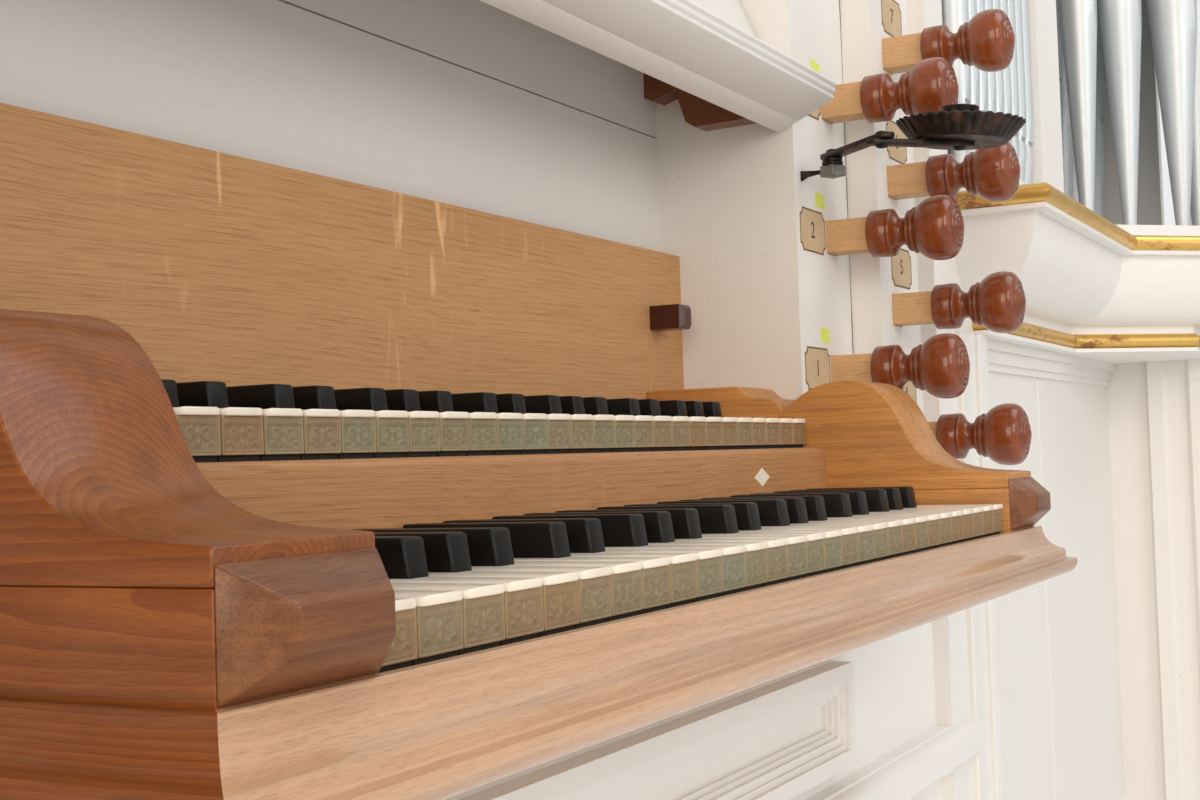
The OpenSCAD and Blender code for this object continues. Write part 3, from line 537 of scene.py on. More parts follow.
# %% [markdown]
# ## Building meshes by code
# Small turned and flat pieces are easiest to build from lists of points. A few helpers cover them all: one
# gives a mesh its object and lets it ride on a body, one makes a piece from points and faces, one turns an
# outline on an axis as a lathe does, and one stands flat outlines up to a thickness and softens their edges.


# %% Mesh helpers
chance = random.Random(7)


def placed(name, mesh, material, body, stands_for=()):
    """A mesh as a named piece that moves with a body and may stand for CAD nodes."""
    mesh.materials.append(material)
    made = bpy.data.objects.new(name, mesh)
    bpy.context.scene.collection.objects.link(made)
    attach(made, body)
    if stands_for:
        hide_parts(*stands_for)
    return made


def piece(name, points, faces, material, body, smooth=True, stands_for=(), crease=None):
    """A piece in the frame's metres; edges over `crease` degrees stay crisp."""
    mesh = bpy.data.meshes.new(name)
    mesh.from_pydata(points, [], faces)
    if smooth:
        mesh.shade_smooth()
    if crease:
        mesh.set_sharp_from_angle(angle=math.radians(crease))
    return placed(name, mesh, material, body, stands_for)


def marked(made, name, values):
    """Writes one number on each point of a piece, for its finish to read."""
    made.data.attributes.new(name, "FLOAT", "POINT").data.foreach_set("value", values)


def turned(outline, start, axis, count=64):
    """Points and faces of an outline of (along, radius) in mm, turned about an axis from a start point."""
    axis = Vector(axis).normalized()
    across = axis.orthogonal().normalized()
    beside = axis.cross(across)
    points, faces = [], []
    for along, radius in outline:
        for i in range(count):
            turn = 2 * math.pi * i / count
            arm = across * math.cos(turn) + beside * math.sin(turn)
            points.append(start + (axis * along + arm * radius) / 1000)
    for ring in range(len(outline) - 1):
        for i in range(count):
            j = (i + 1) % count
            faces.append((ring * count + i, ring * count + j, (ring + 1) * count + j,
                          (ring + 1) * count + i))
    faces.append(tuple(reversed(range(count))))
    faces.append(tuple(range(len(points) - count, len(points))))
    return points, faces


def softened(name, solids, width, material, body, steps=3, stands_for=(), angle=40, along="Z"):
    """Prisms given as (outline, low, high), joined in one piece with their sharp edges rounded.
    A fourth entry is the outline at the high end, where it differs. The prisms run along one axis."""
    order = {"X": (2, 0, 1), "Y": (0, 2, 1), "Z": (0, 1, 2)}[along]
    work = bmesh.new()
    for outline, low, high, *other in solids:
        under, above = ([work.verts.new([(*p, level)[k] for k in order]) for p in ends]
                        for ends, level in ((outline, low), (other[0] if other else outline, high)))
        work.faces.new(tuple(reversed(under)))
        work.faces.new(tuple(above))
        for i in range(len(outline)):
            j = (i + 1) % len(outline)
            work.faces.new((under[i], under[j], above[j], above[i]))
    bmesh.ops.recalc_face_normals(work, faces=work.faces)
    sharp = [e for e in work.edges if e.calc_face_angle(0) > math.radians(angle)]
    bmesh.ops.bevel(work, geom=sharp, offset=width, segments=steps, profile=0.5, affect="EDGES",
                    clamp_overlap=True)
    mesh = bpy.data.meshes.new(name)
    work.to_mesh(mesh)
    work.free()
    mesh.shade_smooth()
    return placed(name, mesh, material, body, stands_for)


def curve(a, b, c, d, steps=8):
    """Points along a cubic curve through four handles, as the CAD's outlines have them."""
    t = np.linspace(0, 1, steps + 1)[:, None]
    a, b, c, d = (np.array(p, float) for p in (a, b, c, d))
    line = a * (1 - t) ** 3 + 3 * b * t * (1 - t) ** 2 + 3 * c * t * t * (1 - t) + d * t ** 3
    return [tuple(p) for p in line]


def blended(points, steps=4):
    """A smooth line through (along, radius) points; each stretch also bends by its two neighbours."""
    line = []
    for k in range(len(points) - 1):
        p0, p1, p2, p3 = (np.array(points[min(max(k + d, 0), len(points) - 1)], float) for d in (-1, 0, 1, 2))
        for i in range(steps):
            t = i / steps
            line.append(tuple(0.5 * (2 * p1 + (p2 - p0) * t + (2 * p0 - 5 * p1 + 4 * p2 - p3) * t * t
                                     + (3 * p1 - p0 - 3 * p2 + p3) * t ** 3)))
    return line + [tuple(points[-1])]


print("a test line:", len(blended([(0, 0), (1, 1), (2, 0)])), "points")

# %% [markdown]
# ## The moulded bed
# The bed that the keydesk stands on has a moulding worked round its front and its two ends: a lip, a cove, a
# fillet, a step and a rounded foot, mitred at the corners. One outline of (outward, height) is carried along
# the three sides; at a mitre it simply moves outward both ways, so the corner comes out true. A plain slab
# inside it carries the keys. The returns at the ends have their grain along them and are stained as the
# cheeks above them. The CAD bed has the same plan with a plainer edge.

# %% Bed with its moulding
DESK_HALF, KEYS_HALF, DESK_FRONT, STILE_FACE, BACK_FACE = 397, 334.5, -4.3, 155, 263
LIP, DECK, BED_LOW, BED_RIM = -14.6, -17.5, -46, 30
edge = [(0, DECK), (0, LIP), (4.0, LIP)] + curve((4.6, -15.0), (5.2, -21.5), (8, -27.5), (15.6, -30), 12)
edge += [(16.4, -30.6), (16.8, -31.4), (16.8, -35.4), (17.6, -36.2)]
edge += curve((22.4, -36.8), (23.4, -37.2), (23.6, -44), (18.5, BED_LOW), 8)
edge += [(-BED_RIM, BED_LOW), (-BED_RIM, DECK)]
points = []
for side, corner_y, mitre_y in ((-1, STILE_FACE, 0), (-1, DESK_FRONT, -1), (1, DESK_FRONT, -1),
                                (1, STILE_FACE, 0)):
    points += [place(side * (DESK_HALF + out), corner_y + mitre_y * out, z) for out, z in edge]
count = len(edge)
faces = [(k * count + i, (k + 1) * count + i, (k + 1) * count + (i + 1) % count,
          k * count + (i + 1) % count) for k in range(3) for i in range(count)]
faces += [tuple(range(count)), tuple(range(3 * count, 4 * count))[::-1]]
for half, front, back in ((DESK_HALF - BED_RIM, DESK_FRONT + BED_RIM, STILE_FACE),
                          (DESK_HALF, STILE_FACE, BACK_FACE)):
    first = len(points)
    points += [place(x, y, z) for z in (BED_LOW, DECK) for x, y in
               ((-half, front), (half, front), (half, back), (-half, back))]
    faces += [tuple(first + k for k in face) for face in
              ((3, 2, 1, 0), (4, 5, 6, 7), (0, 1, 5, 4), (1, 2, 6, 5), (2, 3, 7, 6), (3, 0, 4, 7))]
bed = piece("moulded_bed", points, faces, oak_bed, "case", stands_for=("keybed",), crease=28)
for wood in (oak_dark, oak_light):
    bed.data.materials.append(wood)
for face in bed.data.polygons[:3 * count]:
    face.material_index = (1, 0, 2)[face.index // count]
print("bed outline points:", count)

# %% [markdown]
# ## Cheeks
# At each end of the keys stands a cheek: a low base and, on it, a shaped board whose outline swells up and
# dips before the stiles, with a bevelled block of end grain in front. The outlines are the CAD's. The pieces
# are made again so that their edges can be rounded, and so that a fine shadow line parts the two boards.

# %% Cheek boards
cheek = [(248, 12.7), (248, 86)] + curve((182, 86), (175, 86), (174, 78), (166, 77.5), 6)
cheek += curve((166, 77.5), (158, 77), (149, 77), (146.3, 67.4), 6)[1:]
cheek += curve((146.3, 67.4), (139, 70), (132, 86), (101, 86), 10)[1:]
cheek += curve((101, 86), (84, 86), (74, 77), (66, 61), 8)[1:]
cheek += curve((66, 61), (58, 44), (55, 28), (20, 24), 12)[1:] + [(DESK_FRONT, 22.2), (DESK_FRONT, 12.7)]
base = [(DESK_FRONT, DECK), (248, DECK), (248, 12.6), (DESK_FRONT, 12.6)]


def nose_end(inset, low, high):
    """Outline of the front block, in across and height, at one end of its taper."""
    near, far = KEYS_HALF + inset, DESK_HALF - inset
    return [(near, low), (far, low), (far, high), (near, high)]


for (hand, sign), wood in zip(HANDS, (oak_light, oak_dark)):
    low, high = sorted((sign * KEYS_HALF / 1000, sign * DESK_HALF / 1000))
    for name, outline, width in (("cheek", cheek, 0.0009), ("cheek_base", base, 0.0005)):
        board = softened(f"{hand}_{name}", [(side_view(outline), low, high)], width, wood, "case", 3,
                         (name + "s",) if hand == "right" else (), along="X")
    back, front = ([tuple(place(sign * x, 0, z).xz) for x, z in nose_end(*ends)]
                   for ends in ((0, LIP, 18.6), (13, -3, 7.8)))
    taper = (back, place(0, DESK_FRONT, 0).y, place(0, DESK_FRONT - 15, 0).y, front)
    nose = softened(f"{hand}_cheek_nose", [taper], 0.0009, oak_end, "case", 3,
                    ("cheek_noses",) if hand == "right" else (), angle=20, along="Y")
print("cheek outline points:", len(cheek))

# %% [markdown]
# ## Music desk
# The desk is a leaning board, and along its foot runs a ledge whose edge is moulded: a lip, a groove and a
# bead. Both are outlines in the plane across the desk, turned back by the lean and drawn out along it.

# %% Leaning board and ledge
LEAN, FOOT, HALF = math.radians(24), (154.6, 286), 395


def leaning(out, rise):
    """A place on the desk's section, given across and up the board from its foot."""
    depth = out * math.cos(LEAN) + rise * math.sin(LEAN)
    height = rise * math.cos(LEAN) - out * math.sin(LEAN)
    return tuple(place(0, FOOT[0] + depth, FOOT[1] + height).yz)


LEDGE_OUT, LEDGE_HIGH = 30, 11
moulding = curve((-5.4, 11), (-7, 11), (-7.6, 9.8), (-7, 7.6), 4) + [(-5.6, 7.2)]
moulding += curve((-4.2, 6.4), (-5, 4.6), (-3.6, 3), (-1.4, 3.2), 4) + [(-0.9, 2.2), (-1.2, 0.6)]
ledge = [(-LEDGE_OUT, -LEDGE_HIGH), (0, -LEDGE_HIGH), (0, 0)]
ledge += [(x - LEDGE_OUT, z - LEDGE_HIGH) for x, z in moulding]
board = [(0, -LEDGE_HIGH), (16, -LEDGE_HIGH), (16, 224), (0, 224)]
desk = softened("music_desk_board", [([leaning(*p) for p in line], -HALF / 1000, HALF / 1000)
                                     for line in (board, ledge)], 0.0005, paint_level, "case", 2,
                ("music_desk",), angle=50, along="X")
print("desk faces:", len(desk.data.polygons))

# %% [markdown]
# ## Shrinkage cracks
# Where the outer stop stile stands in front of the inner one, the paint has cracked along the joint. The
# crack is a dark line that wanders and changes its width, so it is a thin strip with a jittered edge.

# %% Cracks along the stiles
CRACK_X, CRACK_EDGE, CRACK_LOW, CRACK_STEP, CRACK_POINTS = 510, 510.2, -46, 8, 150
dark_gap = mottled("dark_gap", 90.0, (0.010, 0.008, 0.007), (0.05, 0.035, 0.025), 0.95)
for hand, sign in HANDS:
    points, faces = [], []
    for k in range(CRACK_POINTS):
        height = CRACK_LOW + k * CRACK_STEP + chance.uniform(-2, 2)
        wide = max(0.15, 0.75 + 0.55 * math.sin(k * 0.37) + chance.uniform(-0.35, 0.35))
        points += [place(sign * x, STILE_FACE + y, height) for x, y in (
            (CRACK_X - wide, -0.12), (CRACK_EDGE, -0.12), (CRACK_EDGE, 0.3), (CRACK_X - wide, 0.3))]
    for k in range(CRACK_POINTS - 1):
        a, b = 4 * k, 4 * k + 4
        faces += [(a + i, a + (i + 1) % 4, b + (i + 1) % 4, b + i)[::sign] for i in range(4)]
    last = range(len(points) - 4, len(points))
    faces += [(0, 1, 2, 3)[::-sign], tuple(last)[::sign]]
    piece(f"{hand}_stile_crack", points, faces, dark_gap, "case", smooth=False)
print("crack faces:", len(faces))

# %% [markdown]
# ## Ivory tops
# Each natural is covered with a slab of bone, cut back beside the sharps, whose front lip stands out a little
# and is rounded by polishing. The CAD slab has square edges, so each top is built again from the same
# outline and its edges are rounded with a bevel. A subdivision surface would round the long sides too much.
# The lips are a little fuller in the middle than at their ends, so their points are moved up or down.

# %% Key tops
PITCH, NATURALS, KEY_LONG = 23, 29, 113
UPPER_BACK, UPPER_RISE = 129.5, 58.8
ROWS = (("lower", 0, 0), ("upper", UPPER_BACK, UPPER_RISE))
LIP_OUT, LIP_ROUND, LIP_LONG = 1.5, 3.0, 9
SHARP_FRONT, SHARP_TOP, SHARP_HALF, SHARP_GAP = 43, 16, 6, 0.8
SHARP_SHIFTS = {1: -2, 2: 3, 4: -5, 5: -2, 6: 3}


def key_edge(edge):
    """Place across of an edge between naturals, counted from the left."""
    return (edge - NATURALS / 2) * PITCH


def sharp_middle(edge):
    """Place across of the sharp near an edge between naturals; None where there is none."""
    shift = SHARP_SHIFTS.get(edge % 7) if 0 < edge < NATURALS - 1 else None
    return None if shift is None else key_edge(edge) + shift


def tail_side(edge, side):
    """Where the tail of the natural on one side (-1 or 1) of an edge ends."""
    middle = sharp_middle(edge)
    return key_edge(edge) + side * 0.5 if middle is None else middle + side * (SHARP_HALF + SHARP_GAP)


def natural_outline(i, depth):
    """Outline of one key top from above, with rounded front corners and a tail between its sharps."""
    left, right = key_edge(i) + 0.5, key_edge(i + 1) - 0.5
    a, b, cut = tail_side(i, 1), tail_side(i + 1, -1), SHARP_FRONT - SHARP_GAP
    lip = -LIP_OUT + chance.uniform(-0.1, 0.35)
    corners = [(left + LIP_ROUND * (1 - math.cos(t)), lip + LIP_ROUND * (1 - math.sin(t)))
               for t in np.radians((0, 30, 60, 90))]
    corners += [(left + right - x, y) for x, y in reversed(corners)] + [(right, cut)]
    corners += [(b, cut)] if b != right else []
    corners += [(b, KEY_LONG), (a, KEY_LONG)]
    corners += [(a, cut)] if a != left else []
    corners += [(left, cut)]
    return [tuple(place(x, y + depth, 0).xy) for x, y in corners]


for row, depth, height in ROWS:
    level = place(0, 0, height).z
    slabs = [(natural_outline(i, depth), level, level + 0.003) for i in range(NATURALS)]
    tops = softened(f"{row}_ivory", slabs, 0.00145, ivory, "case", 4, (f"{row}_key_tops",), angle=50)
    for vertex in tops.data.vertices:
        across = (vertex.co.x * 1000 / PITCH + NATURALS / 2) % 1 * 2 - 1
        back = vertex.co.y * 1000 - place(0, depth - LIP_OUT, 0).y * 1000
        if vertex.co.z > level + 0.0012 and back < LIP_LONG:
            vertex.co.z += (0.35 - 1.25 * abs(across) ** 4) * (1 - back / LIP_LONG) / 1000
    print(tops.name, len(tops.data.polygons), "faces")

# %% [markdown]
# ## Sharps
# A sharp is a bar of ebony with a sloping front, whose upper edges are just broken by the file. It doesn't
# stand over the middle of the gap between its naturals: the two or three sharps of a group are spread, so
# that the tails between them are alike. The edges are rounded with a bevel, from the outline seen sideways.

# %% Sharp bars
for row, depth, height in ROWS:
    side = [(SHARP_FRONT, 0), (SHARP_FRONT + 2.2, SHARP_TOP - 1), (SHARP_FRONT + 3.2, SHARP_TOP),
            (KEY_LONG, SHARP_TOP), (KEY_LONG, 0)]
    side = side_view([(y + depth, z + height) for y, z in side])
    bars = [(side, (middle - SHARP_HALF) / 1000, (middle + SHARP_HALF) / 1000)
            for middle in map(sharp_middle, range(NATURALS)) if middle is not None]
    sharps = softened(f"{row}_ebony", bars, 0.0011, ebony, "case", stands_for=(f"{row}_sharps",), along="X")
    print(sharps.name, len(bars), "bars")

# %% [markdown]
# ## Pressed key fronts
# The front of every natural is a thin plate with an ornament pressed by a die: a frame, two scrolls and a
# leaf. It is relief, not print, so it is built as a fine grid whose points are pushed in by the ornament's
# height. The height also goes into an attribute, so that the finish can leave the hollows brown.


# %% Relief of one front
FRONT_HALF, FRONT_HIGH, FRONT_DEEP = 11, 14, 0.55


def ridge(distance, width=0.32):
    """A rounded line in relief, by the distance from its middle."""
    return np.exp(-(distance / width) ** 2)


def ornament(u, v):
    """Height from 0 to 1 over a front, with u across from its middle and v up from its foot, in mm."""
    edge = np.minimum(FRONT_HALF - np.abs(u), np.minimum(v, FRONT_HIGH - v))
    side = np.abs(u)
    height = (edge < 0.7) * 1.0 + ridge(edge - 1.7, 0.28) * 0.8
    height += ridge(v - 11.2, 0.25) * 0.8 + (v > 11.6) * 0.55
    field = (side < 8.6) & (v > 2.4) & (v < 10.6)
    scroll = np.hypot(side - 4.4, v - 7.3)
    turn = np.arctan2(v - 7.3, side - 4.4)
    marks = ridge(scroll - 1.05 - 0.28 * (turn + math.pi), 0.34)
    marks += ridge(np.hypot(side - 4.6, v - 7.3), 0.55)
    marks += ridge(np.hypot(side * 1.7, (v - 6.6) * 0.62) - 1.5, 0.36)
    marks += ridge(side, 0.28) * (v < 9.8)
    marks += ridge(np.hypot(side - 6.9, v - 1.4) - 3.3, 0.32) * (side < 7.6)
    marks += ridge(np.hypot(side - 2.4, v - 3.4), 0.55) + ridge(np.hypot(side - 7.6, v - 4.3), 0.5)
    return np.clip(height + marks * field * 0.85, 0, 1)


U, V = np.meshgrid(np.linspace(-FRONT_HALF, FRONT_HALF, 41), np.linspace(0, FRONT_HIGH, 27))
RELIEF = ornament(U, V)
print("relief grid", RELIEF.shape, "mean height", round(float(RELIEF.mean()), 2))

# %% [markdown]
# ## Finish of the fronts
# The plates are brass-coloured where they are raised and brown in the hollows, and those in the middle of the
# keyboard, which are touched most, have turned green. Two numbers written on the mesh steer this: the relief,
# and the age of each key. Noise alone could not know where the hollows are.

# %% Finish of the fronts
pressed = Finish("pressed_fronts", IOR=1.5)
raised, age = pressed.painted("relief"), pressed.painted("age")
cloudy = pressed.noise(260.0, detail=4.0, rough=0.65)
high_tone = pressed.mix(age, (0.42, 0.265, 0.135), (0.36, 0.295, 0.180))
low_tone = pressed.mix(age, (0.20, 0.118, 0.052), (0.150, 0.150, 0.092))
verdigris = pressed.ramp(cloudy, (0.50, 0.0), (0.66, 1.0)) * age
front_tone = pressed.mix(raised * 0.55 + cloudy * 0.7 - 0.14, low_tone, high_tone)
front_tone = pressed.mix(verdigris * 0.32, front_tone, (0.22, 0.36, 0.24))
embossed = pressed.done(front_tone, 0.42 + cloudy * 0.25, cloudy, 0.0002, metal=raised * 0.35)
print("nodes of the fronts:", len(pressed.tree.nodes))


# %% Key fronts
def fronts(row, depth, height):
    """All the pressed fronts of one manual, as one piece, each a relief grid with a rim and a flat back."""
    rows, columns = RELIEF.shape
    points, faces, relief, ages = [], [], [], []
    for i in range(NATURALS):
        middle = key_edge(i + 0.5)
        base = len(points)
        own = math.exp(-((middle + 40) / 190) ** 2) * 0.85 + chance.uniform(-0.25, 0.3)
        for r in range(rows):
            for c in range(columns):
                sink = (1 - RELIEF[r, c]) * FRONT_DEEP
                points.append(place(middle + U[r, c], depth + sink, height - FRONT_HIGH + V[r, c]))
        for r in range(rows - 1):
            for c in range(columns - 1):
                k = base + r * columns + c
                faces.append((k, k + 1, k + columns + 1, k + columns))
        rim = ([base + c for c in range(columns)] + [base + r * columns + columns - 1 for r in range(1, rows)]
               + [base + (rows - 1) * columns + c for c in range(columns - 2, -1, -1)]
               + [base + r * columns for r in range(rows - 2, 0, -1)])
        back = len(points)
        points += [Vector((points[k].x, place(0, depth + 2, 0).y, points[k].z)) for k in rim]
        faces += [(rim[(k + 1) % len(rim)], rim[k], back + k, back + (k + 1) % len(rim))
                  for k in range(len(rim))]
        faces.append(tuple(range(back, back + len(rim)))[::-1])
        relief += list(RELIEF.ravel()) + [0.4] * len(rim)
        ages += [min(1.0, max(0.0, own))] * (rows * columns + len(rim))
    made = piece(f"{row}_pressed_fronts", points, faces, embossed, "case", stands_for=(f"{row}_key_fronts",))
    marked(made, "relief", relief)
    marked(made, "age", ages)
    print(made.name, len(faces), "faces")


for row in reversed(ROWS):
    fronts(*row)

# %% [markdown]
# ## Turned knobs
# A stop knob is one turned piece: a collar that sits on the square shank, a waist, two beads, a barrel, and
# rings cut into its end, which catch the window's light. The CAD knob has the same outline with fewer
# points. Here the line is drawn again, finer, and turned with a lathe function, one piece for each stop, so
# that each rides on its own body. A screw modifier could turn it too, but the painted shade in its grooves,
# which the finish reads, is easier to write where the points are made.

# %% Knob outline
knob_line = [(0, 13), (0, 16.3), (0.9, 17.5), (14.0, 17.8), (14.5, 17.2), (15.1, 17.2), (15.6, 17.7),
             (16.9, 17.3), (17.5, 16.1)]
knob_line += blended([(17.5, 16.1), (20.0, 12.0), (22.6, 10.1), (25.4, 10.1), (28.0, 12.7)], 5)[1:]
knob_line += [(28.6, 14.3), (29.2, 15.1), (30.0, 15.4), (30.7, 15.0), (31.2, 14.2), (31.7, 15.4),
              (32.4, 16.4), (33.2, 17.0), (34.2, 16.9), (34.9, 16.2), (35.3, 15.4)]
knob_line += blended([(35.8, 16.2), (38.0, 18.6), (41.2, 21.0), (45.5, 22.9), (50.2, 23.7), (55.0, 23.7),
                      (58.9, 22.9), (61.7, 21.2), (63.6, 18.7), (64.5, 16.9)], 4)
knob_line += [(64.7, 15.8), (63.8, 15.2), (63.7, 14.6), (64.9, 13.9), (65.7, 13.0), (65.9, 12.0),
              (65.0, 11.3), (64.9, 10.7), (66.2, 10.0), (67.0, 9.1), (67.1, 8.2), (66.2, 7.5), (66.1, 6.9),
              (67.4, 6.1), (68.3, 4.5), (68.9, 2.3), (69.0, 0.6)]
# Where the knob's grooves lie, and how much painted shade each outline point gets near them.
GROOVES = ((14.8, 17.2), (28.3, 13.4), (31.2, 14.2), (35.3, 15.5), (63.9, 14.9), (65.1, 11.0), (66.3, 7.2))
groove_shade_marks = [max(math.exp(-(math.dist(p, g) / 0.55) ** 2) for g in GROOVES) for p in knob_line]
print("knob outline points:", len(knob_line))

# %% Stops
SHANK, SHANK_SHOWS, SHANK_LONG = 24, 32, 150
INNER_X, INNER_FACE, INNER_HEIGHTS = 471, 155, (99, 200.5, 302)
OUTER_X, OUTER_FACE, OUTER_HEIGHTS = 550, 131, (48, 149.5, 251, 352.5)


def stop(name, x, face, height):
    """A knob and its shank, as two pieces on the stop's own body."""
    end = place(x, face - SHANK_SHOWS, height)
    knob = piece(name + ".knob", *turned(knob_line, end, (0, -1, 0)), polished, name, stands_for=(name,))
    marked(knob, "groove", np.repeat(groove_shade_marks, len(knob.data.vertices) // len(knob_line)))
    square = [tuple((end + Vector((x, 0, z)) * SHANK / 2000).xz)
              for x, z in ((-1, -1), (1, -1), (1, 1), (-1, 1))]
    length = (SHANK_SHOWS + SHANK_LONG) / 1000
    shank = softened(name + ".shank", [(square, end.y, end.y + length)], 0.0007, oak_pale, name, 2, along="Y")


for hand, sign in HANDS:
    for n, height in enumerate(INNER_HEIGHTS, 1):
        stop(f"{hand}_inner_stop_{n}", sign * INNER_X, INNER_FACE, height)
    for n, height in enumerate(OUTER_HEIGHTS, 1):
        stop(f"{hand}_outer_stop_{n}", sign * OUTER_X, OUTER_FACE, height)

# %% [markdown]
# ## Paper labels, stickers and the inlay
# Beside each stop a small paper label with notched corners and an inked edge says what it does. Here each
# holds only its plain number. Three bare yellow-green stickers sit above the inner labels, and one lozenge of
# bone is let into the key slip. They are thin plates, so that their edges catch light, and the inked edge is
# its own thin ring.

# %% Paper, ink and sticker finishes
paper = Finish("label_paper", Roughness=0.75)
fibres = paper.noise(420.0, detail=4.0)
soiling = paper.noise(60.0, detail=3.0)
label_paper = paper.done(paper.mix(fibres * 0.4 + soiling * 0.6, (0.50, 0.35, 0.20), (0.64, 0.49, 0.31)),
                         height=fibres, depth=0.00005)
ink = mottled("label_ink", 500.0, (0.020, 0.014, 0.012), (0.060, 0.040, 0.030), 0.6)
sticker = mottled("sticker", 180.0, (0.66, 0.74, 0.10), (0.80, 0.86, 0.22), 0.6)
print("paper nodes:", len(paper.tree.nodes))

# %% Labels
INNER_LABEL_X, OUTER_LABEL_X, SLIP_FACE = 430, 565, 116


def plate(name, outline, face, thick, material, body="case", hole=None):
    """A thin plate of an (across, height) outline on a face at a depth, in mm; a hole makes it a ring."""
    front, back = face - thick, face + 0.02
    count = len(outline)
    points = [place(x, front, z) for x, z in outline] + [place(x, back, z) for x, z in outline]
    faces = [(i, i + count, (i + 1) % count + count, (i + 1) % count) for i in range(count)]
    if hole is None:
        faces += [tuple(range(count))[::-1], tuple(range(count, 2 * count))]
    else:
        points += [place(x, front, z) for x, z in hole] + [place(x, back, z) for x, z in hole]
        for i in range(count):
            j = (i + 1) % count
            a, b, c, d = ((k * count + i, k * count + j) for k in range(4))
            faces += [a + c[::-1], c + d[::-1], b[::-1] + d]
    return piece(name, points, faces, material, body, smooth=False)


def notched(x, z, wide, high, inset=0.0, notch=5.0):
    """Outline of a label whose corners are cut in by small scoops."""
    a, b, c = wide / 2 - inset, high / 2 - inset, notch
    corner = [(a - c, b), (a - c * 0.86, b - c * 0.5), (a - c * 0.5, b - c * 0.86), (a, b - c)]
    quarter = corner + [(px, -pz) for px, pz in reversed(corner)]
    outline = quarter + [(-px, pz) for px, pz in reversed(quarter)]
    return [(x + px, z + pz) for px, pz in outline]


def numeral(name, number, x, face, height, size):
    """A plain number as a thin raised mesh on a label."""
    text = bpy.data.curves.new(name, "FONT")
    text.body, text.size, text.extrude = str(number), size / 1000, 0.00005
    text.align_x, text.align_y = "CENTER", "CENTER"
    written = bpy.data.objects.new(name, text)
    bpy.context.scene.collection.objects.link(written)
    mesh = bpy.data.meshes.new_from_object(written)
    bpy.data.objects.remove(written)
    spot = place(x, face, height)
    for vertex in mesh.vertices:
        vertex.co = spot + Vector((vertex.co.x, vertex.co.z, vertex.co.y))
    mesh.flip_normals()
    mesh.materials.clear()
    placed(name, mesh, ink, "case")


def label(name, number, x, face, height):
    """One label: its paper, its inked edge and its number."""
    frame_of_label = (x, height, 52, 32)
    plate(name, notched(*frame_of_label), face, 0.35, label_paper)
    plate(name + ".edge", notched(*frame_of_label, 0.4), face, 0.42, ink, hole=notched(*frame_of_label, 1.3))
    numeral(name + ".number", number, x, face - 0.38, height, 17)


for hand, sign in HANDS:
    for n, height in enumerate(INNER_HEIGHTS, 1):
        label(f"{hand}_inner_label_{n}", n, sign * INNER_LABEL_X, INNER_FACE, height + 1)
    for n, height in enumerate(OUTER_HEIGHTS, 1):
        label(f"{hand}_outer_label_{n}", n + 3, sign * OUTER_LABEL_X, OUTER_FACE, height + 35)
for n, (height, tilt, above) in enumerate(zip(INNER_HEIGHTS, (-0.6, 0.5, 0.2), (26.5, 25.1, 23.2)), 1):
    corners = ((438, -5), (457.5, -5.5 + tilt), (458, 5 + tilt), (438.5, 6.5))
    plate(f"sticker_{n}", [(x, height + above + z) for x, z in corners], INNER_FACE, 0.12, sticker)
plate("slip_inlay", [(209.5, 25.2), (221.6, 19.6), (233.7, 25.2), (221.6, 30.8)], SLIP_FACE, 0.08, ivory)

# %% [markdown]
# ## The candle sconce
# A spike in the stop jamb carries a knuckle; two flat links fold on rivets, and the second holds a pan for
# the wax with a candle cup in it. The pan is sheet iron beaten over a form: its wall is fluted, so its radius
# waves more and more towards the rim. The wave is written into a grid of points, once for each side.


# %% Pan and cup
PAN_LEAN = Matrix.Rotation(math.radians(4), 3, "X")


def ringed(name, levels, centre, body, count=144, stands_for=()):
    """A shell from a list of functions that give (radius, height) in mm for an angle, joined ring by ring.
    The whole shell leans a little to the front, as the pan does."""
    points, faces = [], []
    for level in levels:
        for i in range(count):
            turn = 2 * math.pi * i / count
            radius, height = level(turn)
            spot = Vector((radius * math.cos(turn), radius * math.sin(turn), height))
            points.append(centre + PAN_LEAN @ spot / 1000)
    rings = len(levels)
    for r in range(rings):
        for i in range(count):
            a, b, j = r * count, (r + 1) % rings * count, (i + 1) % count
            faces.append((a + i, a + j, b + j, b + i))
    return piece(name, points, faces, iron, body, stands_for=stands_for)


PAN_BASE, PAN_RIM, PAN_HIGH, FLUTES = 32.5, 43.2, 13.5, 34


def pan_wall(share, inward):
    """One ring of the fluted wall, at a share of its height, moved inward by the sheet's thickness."""
    def level(turn):
        wave = (1 - 2 * abs(math.cos(FLUTES / 2 * turn)) ** 1.2) * (0.15 + 0.85 * share) * min(1.0, share * 4)
        radius = PAN_BASE + (PAN_RIM - PAN_BASE) * share - 1.15 * wave - inward
        return radius, PAN_HIGH * share - 0.5 * wave * share + inward * 0.5
    return level


def flat_ring(radius, height):
    """A ring that is the same at every angle."""
    return lambda turn: (radius, height)


def crown(radius, high, teeth, inward):
    """A ring of bent-up points that grips the cup."""
    def level(turn):
        tooth = abs(((turn * teeth / (2 * math.pi)) % 1) - 0.5) * 2
        return radius - inward + 1.2 * tooth, high * (0.42 + 0.58 * tooth ** 1.5)
    return level


KNUCKLE, ELBOW, CUP, PAN_SEAT = (411, 131), (368, 80), (410, 38), 249.6


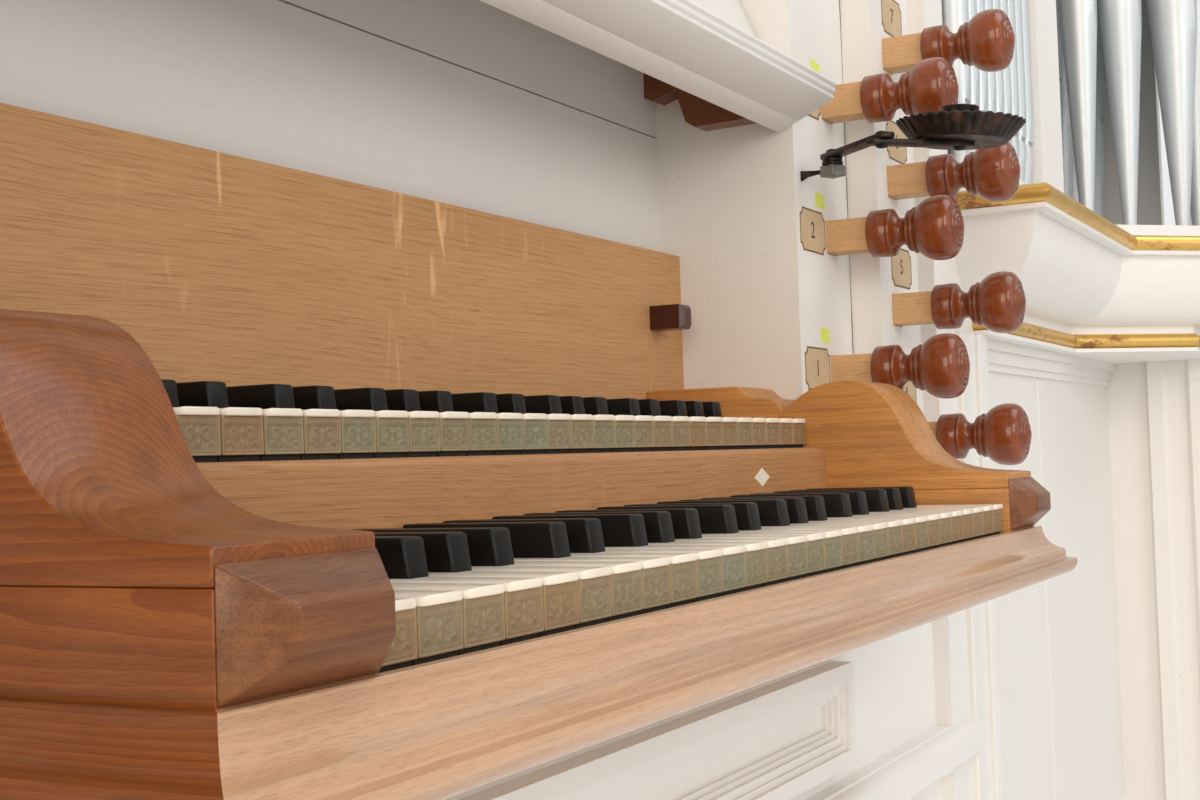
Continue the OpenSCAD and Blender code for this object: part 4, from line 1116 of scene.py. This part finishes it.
def candle_pan(hand, sign):
    """The pan, its cup and the crown that grips the candle, on the arm's body."""
    body = f"{hand}_sconce_arm"
    seat = place(sign * CUP[0], CUP[1], PAN_SEAT)
    shares = [k / 8 for k in range(9)]
    outer = [flat_ring(0.5, 0), flat_ring(14, 0), flat_ring(31, 0)] + [pan_wall(s, 0) for s in shares]
    inner = [pan_wall(s, 0.9) for s in reversed(shares)] + [flat_ring(29.5, 0.9), flat_ring(0.5, 0.9)]
    ringed(body + ".pan", outer + inner, seat, body, FLUTES * 8, (body,))
    cup = [(0.9, 0.5), (0.9, 12), (9, 12.4), (23.2, 12.4), (23.8, 12.8), (24.4, 12.4), (24.2, 11.4),
           (23, 11.2), (8, 11.2), (8, 0.5)]
    ringed(body + ".cup", [flat_ring(r, h) for h, r in cup], seat, body, 48)
    ringed(body + ".crown", [flat_ring(15.6, 0.8), crown(16.4, 19.5, 7, 0), crown(16.4, 19.5, 7, 0.7),
                             flat_ring(14.9, 0.8)], seat, body, 140)


print("radius and height of the pan's rim:", [round(c, 1) for c in pan_wall(1, 0)(0)], "mm")

# %% Links, rivets and spike
STRAP = 3.4


def strap(name, start, end, level, thick, wide, body, stands_for=()):
    """A flat bar with round ends, which reach past the rivets at two (across, depth) places."""
    start, end = (np.array(p, float) for p in (start, end))
    way = math.atan2(*(end - start)[::-1])
    past = np.array((math.cos(way), math.sin(way))) * 5
    start, end = start - past, end + past
    outline = []
    for centre, first in ((end, way - math.pi / 2), (start, way + math.pi / 2)):
        for k in range(13):
            turn = first + math.pi * k / 12
            outline.append(tuple(place(centre[0] + math.cos(turn) * wide / 2,
                                       centre[1] + math.sin(turn) * wide / 2, 0).xy))
    low = place(0, 0, level).z
    return softened(name, [(outline, low, low + thick / 1000)], 0.0005, iron, body, 2, stands_for)


def rivet(name, spot, low, high, body, radius=4.4):
    """A rivet with a domed head at both ends."""
    head = [(-1.9, 0.3), (-1.8, radius * 0.45), (-1.2, radius * 0.85), (0, radius)]
    line = head + [(high - low, radius)] + [(high - low - a, r) for a, r in reversed(head[:-1])]
    return piece(name, *turned(line, place(*spot, low), (0, 0, 1), 28), iron, body)


def sconce(hand, sign):
    """The folding links with their rivets, the knuckle at the wall and the spike that holds it."""
    link, arm, knuckle = f"{hand}_sconce_link", f"{hand}_sconce_arm", f"{hand}_sconce_knuckle"
    hinge, fold, cup = ((sign * x, y) for x, y in (KNUCKLE, ELBOW, CUP))
    strap(link + ".bar", hinge, fold, 250, STRAP, 12, link, (link,))
    strap(arm + ".bar", fold, cup, 246.4, STRAP, 12, arm)
    rivet(link + ".rivet", fold, 245.9, 253.9, link)
    rivet(arm + ".rivet", cup, 245.9, 251.4, arm)
    collar = [(0, 5.5), (0.5, 7.4), (2.6, 7.6), (3.0, 6.8), (3.4, 6.8), (3.8, 7.2), (5.6, 7.2)]
    piece(knuckle + ".collar", *turned(collar, place(*hinge, 244.3), (0, 0, 1), 40), iron, "case",
          stands_for=() if hand == "left" else ("sconce_brackets",))
    block = [(9.4 * math.cos(t) + KNUCKLE[0], 9.4 * math.sin(t) + KNUCKLE[1])
             for t in np.radians(range(20, 380, 90))]
    block = [tuple(place(sign * x, y, 0).xy) for x, y in block][::sign]
    softened(knuckle + ".block", [(block, place(0, 0, 236.2).z, place(0, 0, 244.4).z)], 0.0011, grey_iron,
             "case", 2)
    rivet(knuckle + ".rivet", hinge, 251, 254.4, "case")
    spike = side_view([(131, 239.0), (143, 239.2), (150, 238.2), (155.4, 235.4), (155.4, 243.0), (143, 242.0),
                       (131, 242.2)])
    low, high = ((sign * KNUCKLE[0] + side * 1.8) / 1000 for side in (-1, 1))
    softened(f"{hand}_sconce_spike", [(spike, low, high)], 0.0006, iron, "case", 2, along="X")


for hand, sign in HANDS:
    candle_pan(hand, sign)
    sconce(hand, sign)
